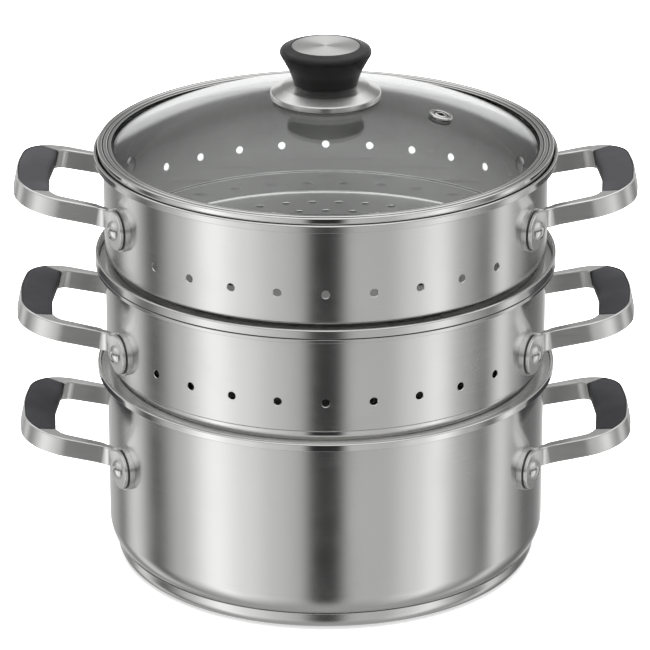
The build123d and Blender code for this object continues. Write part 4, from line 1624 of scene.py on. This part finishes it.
def ring_outline():
    """Rolled ring with three beads, hollow for the glass edge, and a plug below."""
    lid = sizes("lid")
    seat = seat_height("upper_tier")
    top = seat + lid.ring_height
    channel = nest_radius() - lid.ring_wall
    plug = spigot_radius()
    floor = seat + lid.ring_floor
    ceiling = floor + lid.glass_thickness + 2 * lid.seal_gap
    outline = [
        (plug - lid.plug_width, seat - lid.plug_depth, EDGE),
        (plug, seat - lid.plug_depth, EDGE),
        (plug, seat, 0),
        (nest_radius(), seat, EDGE),
        (nest_radius(), seat + sizes("vessels").band_rise + EDGE, 0),
    ]
    radius = nest_radius()
    for i, (width, drop, rounding) in enumerate(BEADS):
        width, drop = width * MM, drop * MM
        rounding = min(rounding * MM, lid.groove_depth - drop)
        if i:
            outline.append((radius, top - lid.groove_depth, 0))
        outline.append((radius, top - drop, rounding))
        outline.append((radius - width, top - drop, rounding))
        radius -= width
        if i < len(BEADS) - 1:
            outline.append((radius, top - lid.groove_depth, 0))
            radius -= lid.groove_width
    return outline + [
        (radius, ceiling, 0),
        (channel, ceiling, 0),
        (channel, floor, 0),
        (plug - lid.plug_width, floor, EDGE),
    ]


def ring_shade_zones():
    """Places of painted shade in the grooves between the beads, at the ring's foot and round the glass.
    """
    lid = sizes("lid")
    seat = seat_height("upper_tier")
    top = seat + lid.ring_height
    widths = [bead[0] * MM for bead in BEADS]
    inner = nest_radius() - sum(widths) - 2 * lid.groove_width
    zones = [
        (nest_radius() - EDGE, nest_radius() + EDGE, seat, seat + sizes("vessels").band_rise + EDGE),
        (inner - EDGE, inner + EDGE, seat, top - INNER_SHADE_DROP),
    ]
    radius = nest_radius()
    for width in widths[:-1]:
        radius -= width
        low, high = (top - share * lid.groove_depth for share in GROOVE_SHADE)
        zones.append((radius - lid.groove_width - NEAR, radius + NEAR, low, high))
        radius -= lid.groove_width
    return zones


def glass_outline():
    lid = sizes("lid")
    bottom, top, edge = glass_edge()
    centre, ball = glass_dome()
    inner = ball - lid.glass_thickness
    inner_start = sqrt(inner**2 - (bottom - centre) ** 2)
    hole = lid.centre_hole
    hole_top = centre + sqrt(ball**2 - hole**2)
    hole_bottom = centre + sqrt(inner**2 - hole**2)
    return [
        (hole, hole_bottom, 0),
        (inner_start, bottom, 0, (0, centre)),
        (edge, bottom, GLASS_EDGE),
        (edge, top, GLASS_EDGE),
        (edge - lid.glass_flange, top, 0),
        (hole, hole_top, 0, (0, centre)),
    ]


def vent_place():
    """Place on the outside of the glass, with Z square to it."""
    lid = sizes("lid")
    centre, ball = glass_dome()
    lean = asin(lid.vent_distance / ball)
    return (
        Matrix.Translation((0, 0, centre))
        @ Matrix.Rotation(lid.vent_angle, 4, "Z")
        @ Matrix.Rotation(lean, 4, "Y")
        @ Matrix.Translation((0, 0, ball))
    )


class STEAMER_OT_lid(bpy.types.Operator):
    """Shapes the glass dome with its holes and the ring round it"""

    bl_idname = "steamer.lid"
    bl_label = "Lid glass and ring"

    def execute(self, context):
        lid = sizes("lid")
        pieces = profile_pieces(glass_outline())
        glass = new_object("lid_dome", turned_mesh("lid_dome", pieces, GLASS_SEGMENTS))
        low, high = -DRILL_REACH, DRILL_REACH
        outline = [(0, low, 0), (lid.vent_hole, low, 0), (lid.vent_hole, high, 0), (0, high, 0)]
        drill = turned("vent_drill", outline, DRILL_SEGMENTS)
        drill.data.transform(vent_place())
        cut_away(glass, drill)
        set_true_normals(glass.data, pieces)
        dress(glass, "lid", "lid_glass", material_of("lid glass"), "lid_glass")
        ring = turned("lid_ring", ring_outline())
        dress(ring, "lid", "lid_steel", material_of("rim steel"), "lid_rim")
        # Dark steel painted as shade in the ring's grooves, at its foot and round the glass.
        paint_shade_zones(ring, ring_shade_zones())
        return {"FINISHED"}


# The vent's eyelet: clearance to the glass and to the washer, the curled foot, and the sunk ring.
VENT_GAP = 0.1 * MM
VENT_WASHER = 1.2 * MM
CURL_RADIUS = 5.6 * MM
CURL_HEIGHT = 1 * MM
CURL_ROUND = 0.4 * MM
VENT_RIM_ROUND = 1.0 * MM
VENT_BANK_START = 2.4 * MM
VENT_BANK_END = 3 * MM
VENT_BANK_DEPTH = 0.9 * MM
VENT_HUB_WIDTH = 1.2 * MM
VENT_HUB_DROP = 0.1 * MM
VENT_BORE_DROP = 0.2 * MM
VENT_SEGMENTS = 96

# Painted shade on the eyelet: how far in from its edge and below its top the sunk ring is painted dark,
# and below its top the bore.
VENT_SHADE_IN = (3.4 * MM, 2.5 * MM)
VENT_SHADE_DOWN = (1.2 * MM, 0.25 * MM)
VENT_BORE_SHADE = 0.3 * MM


def eyelet_outline(under, top):
    """Outline of the eyelet about the vent's axis, between the glass's inside and its own top."""
    lid = sizes("lid")
    return [
        (lid.vent_bore, under - CURL_HEIGHT, CURL_ROUND),
        (CURL_RADIUS, under - CURL_HEIGHT, CURL_ROUND),
        (CURL_RADIUS, under, CURL_ROUND),
        (lid.vent_tube, under, 0),
        (lid.vent_tube, VENT_GAP, 0),
        (lid.vent_flange, VENT_GAP, EDGE),
        (lid.vent_flange, top, VENT_RIM_ROUND),
        (lid.vent_flange - VENT_BANK_START, top, VENT_BANK_DEPTH),
        (lid.vent_flange - VENT_BANK_END, top - VENT_BANK_DEPTH, EDGE),
        (lid.vent_bore + VENT_HUB_WIDTH, top - VENT_HUB_DROP, CURL_ROUND),
        (lid.vent_bore, top - VENT_BORE_DROP, CURL_ROUND),
    ]


class STEAMER_OT_vent(bpy.types.Operator):
    """Turns the steam vent's eyelet"""

    bl_idname = "steamer.vent"
    bl_label = "Steam vent"

    def execute(self, context):
        lid = sizes("lid")
        under = -lid.glass_thickness - VENT_WASHER - VENT_GAP
        top = VENT_GAP + lid.vent_height
        eyelet = turned("vent_eyelet", eyelet_outline(under, top), VENT_SEGMENTS)
        eyelet.data.materials.append(material_of("polished steel"))
        # The sunk ring and the bore are painted dark as shade.
        near, far = (lid.vent_flange - inset for inset in VENT_SHADE_IN)
        low, high = (top - drop for drop in VENT_SHADE_DOWN)
        bore = (0.0, lid.vent_bore + SLACK, under, top - VENT_BORE_SHADE)
        paint_shade_zones(eyelet, [(near, far, low, high), bore])
        eyelet.data.transform(vent_place())
        dress(eyelet, "lid", "vent_steel", material_of("polished steel"), "vent_grommet")
        return {"FINISHED"}


# The dish: hole in its middle, roundings of its rim, its flare and its sharp edges.
DISH_GAP = 0.1 * MM
DISH_HOLE = 2.8 * MM
DISH_RIM_ROUND = 1.2 * MM
DISH_FLARE_ROUND = 12 * MM
DISH_EDGE = 0.2 * MM

# The knob: bore for the screw, taper above the waist, roundings, and the disc's clearance and edge.
SCREW_BORE = 2.5 * MM
SCREW_DEPTH = 16 * MM
WAIST_ROUND = 0.8 * MM
TAPER_RADIUS = 22.2 * MM
TAPER_HEIGHT = 7 * MM
TAPER_ROUND = 25 * MM
BROW_ROUND = 3 * MM
BRIM_ROUND = 2.8 * MM
INLAY_GAP = 0.3 * MM
INLAY_EDGE = 0.2 * MM


def dish_outline(base, waist):
    """Outline of the dish from its foot on the gasket up to the knob, and back along its inside."""
    k = sizes("knob")
    rim = base + k.dish_rim
    flare = rim + k.flare_rise
    sheet = k.dish_sheet
    return [
        (k.dish_radius, base, EDGE),
        (k.dish_radius, rim, DISH_RIM_ROUND),
        (k.flare_radius, flare, DISH_FLARE_ROUND),
        (k.waist_radius, waist, DISH_EDGE),
        (DISH_HOLE, waist, 0),
        (DISH_HOLE, waist - sheet, 0),
        (k.waist_radius - sheet, waist - sheet, DISH_EDGE),
        (k.flare_radius - sheet, flare - sheet, DISH_FLARE_ROUND),
        (k.dish_radius - sheet, rim - sheet, DISH_EDGE),
        (k.dish_radius - sheet, base, EDGE),
    ]


def knob_outline(waist, head, floor):
    """Outline of the knob from the dish over its brow and brim into the recess for the disc."""
    k = sizes("knob")
    lip = k.inlay_radius + INLAY_GAP
    return [
        (SCREW_BORE, waist, 0),
        (k.waist_radius, waist, WAIST_ROUND),
        (TAPER_RADIUS, waist + TAPER_HEIGHT, TAPER_ROUND),
        (k.knob_radius, waist + k.brow_height, BROW_ROUND),
        (k.knob_radius, head - k.brim_drop, BRIM_ROUND),
        (lip, head, EDGE),
        (lip, floor, 0),
        (0, floor, 0),
        (0, waist + SCREW_DEPTH, 0),
        (SCREW_BORE, waist + SCREW_DEPTH, 0),
    ]


class STEAMER_OT_knob(bpy.types.Operator):
    """Turns the knob, its steel dish and the disc on top"""

    bl_idname = "steamer.knob"
    bl_label = "Knob"

    def execute(self, context):
        k = sizes("knob")
        centre, ball = glass_dome()
        gasket = k.dish_radius - k.seal_inset
        base = centre + sqrt(ball**2 - gasket**2) + k.seal_thickness + DISH_GAP
        waist = base + k.dish_rim + k.dish_rise
        head = waist + k.knob_height
        floor = head - k.inlay_recess
        disc = floor + k.inlay_thickness
        dish = turned("knob_dish", dish_outline(base, waist))
        dress(dish, "lid", "knob_steel", material_of("spun steel"), "knob_flange")
        body = turned("knob_grip", knob_outline(waist, head, floor))
        dress(body, "lid", "knob_plastic", material_of("knob plastic"), "knob_body")
        rim = k.inlay_radius
        outline = [(0, floor, 0), (rim, floor, 0), (rim, disc, INLAY_EDGE), (0, disc, 0)]
        inlay = turned("knob_disc", outline)
        dress(inlay, "lid", "inlay_steel", material_of("inlay steel"), "knob_inlay")
        return {"FINISHED"}


# CAD pieces that keep their own mesh, and their finish.
KEPT = {
    "pot_base_core": "core aluminium",
    "lid_rim_seal": "seal silicone",
    "vent_seal": "seal silicone",
    "knob_screw": "rivet steel",
    "knob_washer": "rivet steel",
    "knob_seal_top": "seal silicone",
    "knob_seal_bottom": "seal silicone",
}


class STEAMER_OT_small_parts(bpy.types.Operator):
    """Gives the foot plates, seals, washers, screw and base core their finish"""

    bl_idname = "steamer.small_parts"
    bl_label = "Plates, seals and fasteners"

    def execute(self, context):
        finish = dict(KEPT)
        for step in STEPS:
            for side in SIDES:
                finish[f"{step}_foot_plates_{side}"] = "handle steel"
        for node, name in finish.items():
            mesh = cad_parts[node].data
            mesh.materials.clear()
            mesh.materials.append(material_of(name))
        return {"FINISHED"}


# Studio

# Brightness of the studio round the pot, by direction in degrees, with the camera at 0. The levels were
# fitted to the brightness measured along the walls in the photo, which doesn't show the studio itself.
LIGHT_RING = (
    (-180, 1.15), (-165, 0.62), (-150, 0.47), (-138, 0.2), (-121, 0.88), (-101, 0.1), (-82, 0.62),
    (-60, 1.3), (-42, 0.95), (-26, 0.7), (-13, 0.56), (-6, 0.03), (6, 0.03), (13, 0.6), (32, 0.56),
    (46, 0.82), (60, 1.15), (76, 0.52), (91, 0.19), (104, 0.95), (116, 0.45), (131, 0.15), (143, 0.2),
    (156, 0.37), (170, 0.95), (180, 1.15),
)

# Even brightness that takes over from the ring, from one height of direction to the next:
# start, end, brightness in front of the pot and brightness behind it, tuned against the photo.
SKY_BANDS = (
    (-0.12, -0.02, 0.08, 1.0),
    (0.14, 0.2, 0.6, 0.27),
    (0.42, 0.7, 1.05, 1.05),
    (-0.66, -0.95, 0.42, 0.42),
)

# Depth of direction over which the brightness in front turns to that behind.
FRONT_TO_BACK = (-0.1, 0.35)

WHITE = (1.0, 1.0, 1.0, 1.0)
FLOOR_HALF = 9.0
FLOOR_ROUGHNESS = 0.9
OVERHEAD_SIZE = 2.6
OVERHEAD_PLACE = (0, 0.2, 2.6)
SENSOR_WIDTH = 36
CAMERA_SHIFT = -0.7 / 650
FAR_CLIP = 100


def studio_world(brightness):
    """Soft light all round, brighter and darker in upright strips, and even overhead."""
    world = bpy.data.worlds.new("Studio")
    world.use_nodes = True
    tree = world.node_tree
    tree.nodes.clear()
    x, y, z = split(tree, add(tree, "ShaderNodeTexCoord", output="Generated"))
    angle = maths(tree, "ARCTAN2", x, maths(tree, "MULTIPLY", y, -1.0))
    share = maths(tree, "MULTIPLY_ADD", angle, 1 / (2 * pi), 0.5)
    ramp = tree.nodes.new("ShaderNodeValToRGB")
    ramp.color_ramp.interpolation = "EASE"
    stops = ramp.color_ramp.elements
    while len(stops) < len(LIGHT_RING):
        stops.new(0.5)
    for stop, (degree, level) in zip(stops, LIGHT_RING):
        stop.position = degree / 360 + 0.5
    for stop, (degree, level) in zip(stops, LIGHT_RING):
        stop.color = (level, level, level, 1.0)
    tree.links.new(share, ramp.inputs[0])
    light = ramp.outputs[0]
    behind = fade(tree, y, *FRONT_TO_BACK)
    for start, end, front, back in SKY_BANDS:
        level = maths(tree, "MULTIPLY_ADD", behind, back - front, front)
        light = mixed_colour(tree, fade(tree, z, start, end), light, level)
    seen = add(tree, "ShaderNodeLightPath", output="Is Camera Ray")
    final = mixed_colour(tree, seen, light, WHITE)
    background = add(tree, "ShaderNodeBackground", {"Color": final, "Strength": brightness})
    output = tree.nodes.new("ShaderNodeOutputWorld")
    tree.links.new(background, output.inputs["Surface"])
    return world


def lay_floor(studio):
    """Pale floor that doesn't show in the steel or through the lid."""
    mesh = bpy.data.meshes.new("studio_floor")
    low, high = -FLOOR_HALF, FLOOR_HALF
    corners = [(low, low, 0), (high, low, 0), (high, high, 0), (low, high, 0)]
    mesh.from_pydata(corners, [], [[0, 1, 2, 3]])
    floor = new_object("studio_floor", mesh)
    material, tree, shader = new_material("studio floor")
    shader.inputs["Base Color"].default_value = list(studio.floor) + [1.0]
    shader.inputs["Roughness"].default_value = FLOOR_ROUGHNESS
    shader.inputs["Emission Color"].default_value = WHITE
    shader.inputs["Emission Strength"].default_value = studio.floor_glow
    mesh.materials.append(material)
    floor.visible_glossy = False
    floor.visible_transmission = False


def hang_light(studio):
    """Square light overhead, hidden from the steel's reflections and from the glass."""
    light = bpy.data.lights.new("Overhead", "AREA")
    light.shape = "SQUARE"
    light.size = OVERHEAD_SIZE
    light.energy = studio.light
    overhead = bpy.data.objects.new("Overhead", light)
    overhead.location = OVERHEAD_PLACE
    overhead.visible_glossy = False
    overhead.visible_transmission = False
    bpy.context.scene.collection.objects.link(overhead)


def set_camera(studio):
    """Camera in front of the pot, looking down on it."""
    lens = bpy.data.cameras.new("Camera")
    lens.sensor_width = SENSOR_WIDTH
    lens.lens = studio.focal
    lens.shift_x = CAMERA_SHIFT
    lens.clip_end = FAR_CLIP
    camera = bpy.data.objects.new("Camera", lens)
    lift = studio.elevation
    camera.location = (0, -studio.distance * cos(lift), studio.aim_height + studio.distance * sin(lift))
    camera.rotation_euler = (pi / 2 - lift, 0, 0)
    bpy.context.scene.collection.objects.link(camera)
    bpy.context.scene.camera = camera


class STEAMER_OT_studio(bpy.types.Operator):
    """Sets the floor, the light and the camera"""

    bl_idname = "steamer.studio"
    bl_label = "Studio"

    def execute(self, context):
        studio = sizes("studio")
        context.scene.view_settings.view_transform = "Standard"
        context.scene.world = studio_world(studio.ring)
        lay_floor(studio)
        hang_light(studio)
        set_camera(studio)
        return {"FINISHED"}


OPERATORS = (
    STEAMER_OT_pot,
    STEAMER_OT_tiers,
    STEAMER_OT_handles,
    STEAMER_OT_grips,
    STEAMER_OT_rivets,
    STEAMER_OT_lid,
    STEAMER_OT_vent,
    STEAMER_OT_knob,
    STEAMER_OT_small_parts,
    STEAMER_OT_studio,
)
GROUPS = {
    "steamer_vessels": SteamerVessels,
    "steamer_holes": SteamerHoles,
    "steamer_handles": SteamerHandles,
    "steamer_lid": SteamerLid,
    "steamer_knob": SteamerKnob,
    "steamer_finishes": SteamerFinishes,
    "steamer_studio": SteamerStudio,
}


class STEAMER_PT_panel(bpy.types.Panel):
    """Lists the sizes and the steps that make the steamer pot"""

    bl_label = "Steamer pot"
    bl_idname = "STEAMER_PT_panel"
    bl_space_type = "VIEW_3D"
    bl_region_type = "UI"
    bl_category = "Steamer"

    def draw(self, context):
        for operator in OPERATORS:
            self.layout.operator(operator.bl_idname)
        for name, group in GROUPS.items():
            box = self.layout.box()
            for key in group.__annotations__:
                box.prop(getattr(context.scene, name), key)


def register():
    for group in GROUPS.values():
        bpy.utils.register_class(group)
    for name, group in GROUPS.items():
        setattr(bpy.types.Scene, name, bpy.props.PointerProperty(type=group))
    for operator in OPERATORS:
        bpy.utils.register_class(operator)
    bpy.utils.register_class(STEAMER_PT_panel)


def unregister():
    bpy.utils.unregister_class(STEAMER_PT_panel)
    for operator in reversed(OPERATORS):
        bpy.utils.unregister_class(operator)
    for name in GROUPS:
        delattr(bpy.types.Scene, name)
    for group in reversed(list(GROUPS.values())):
        bpy.utils.unregister_class(group)


def main():
    register()
    for operator in OPERATORS:
        family, name = operator.bl_idname.split(".")
        getattr(getattr(bpy.ops, family), name)()


if __name__ == "__main__":
    main()
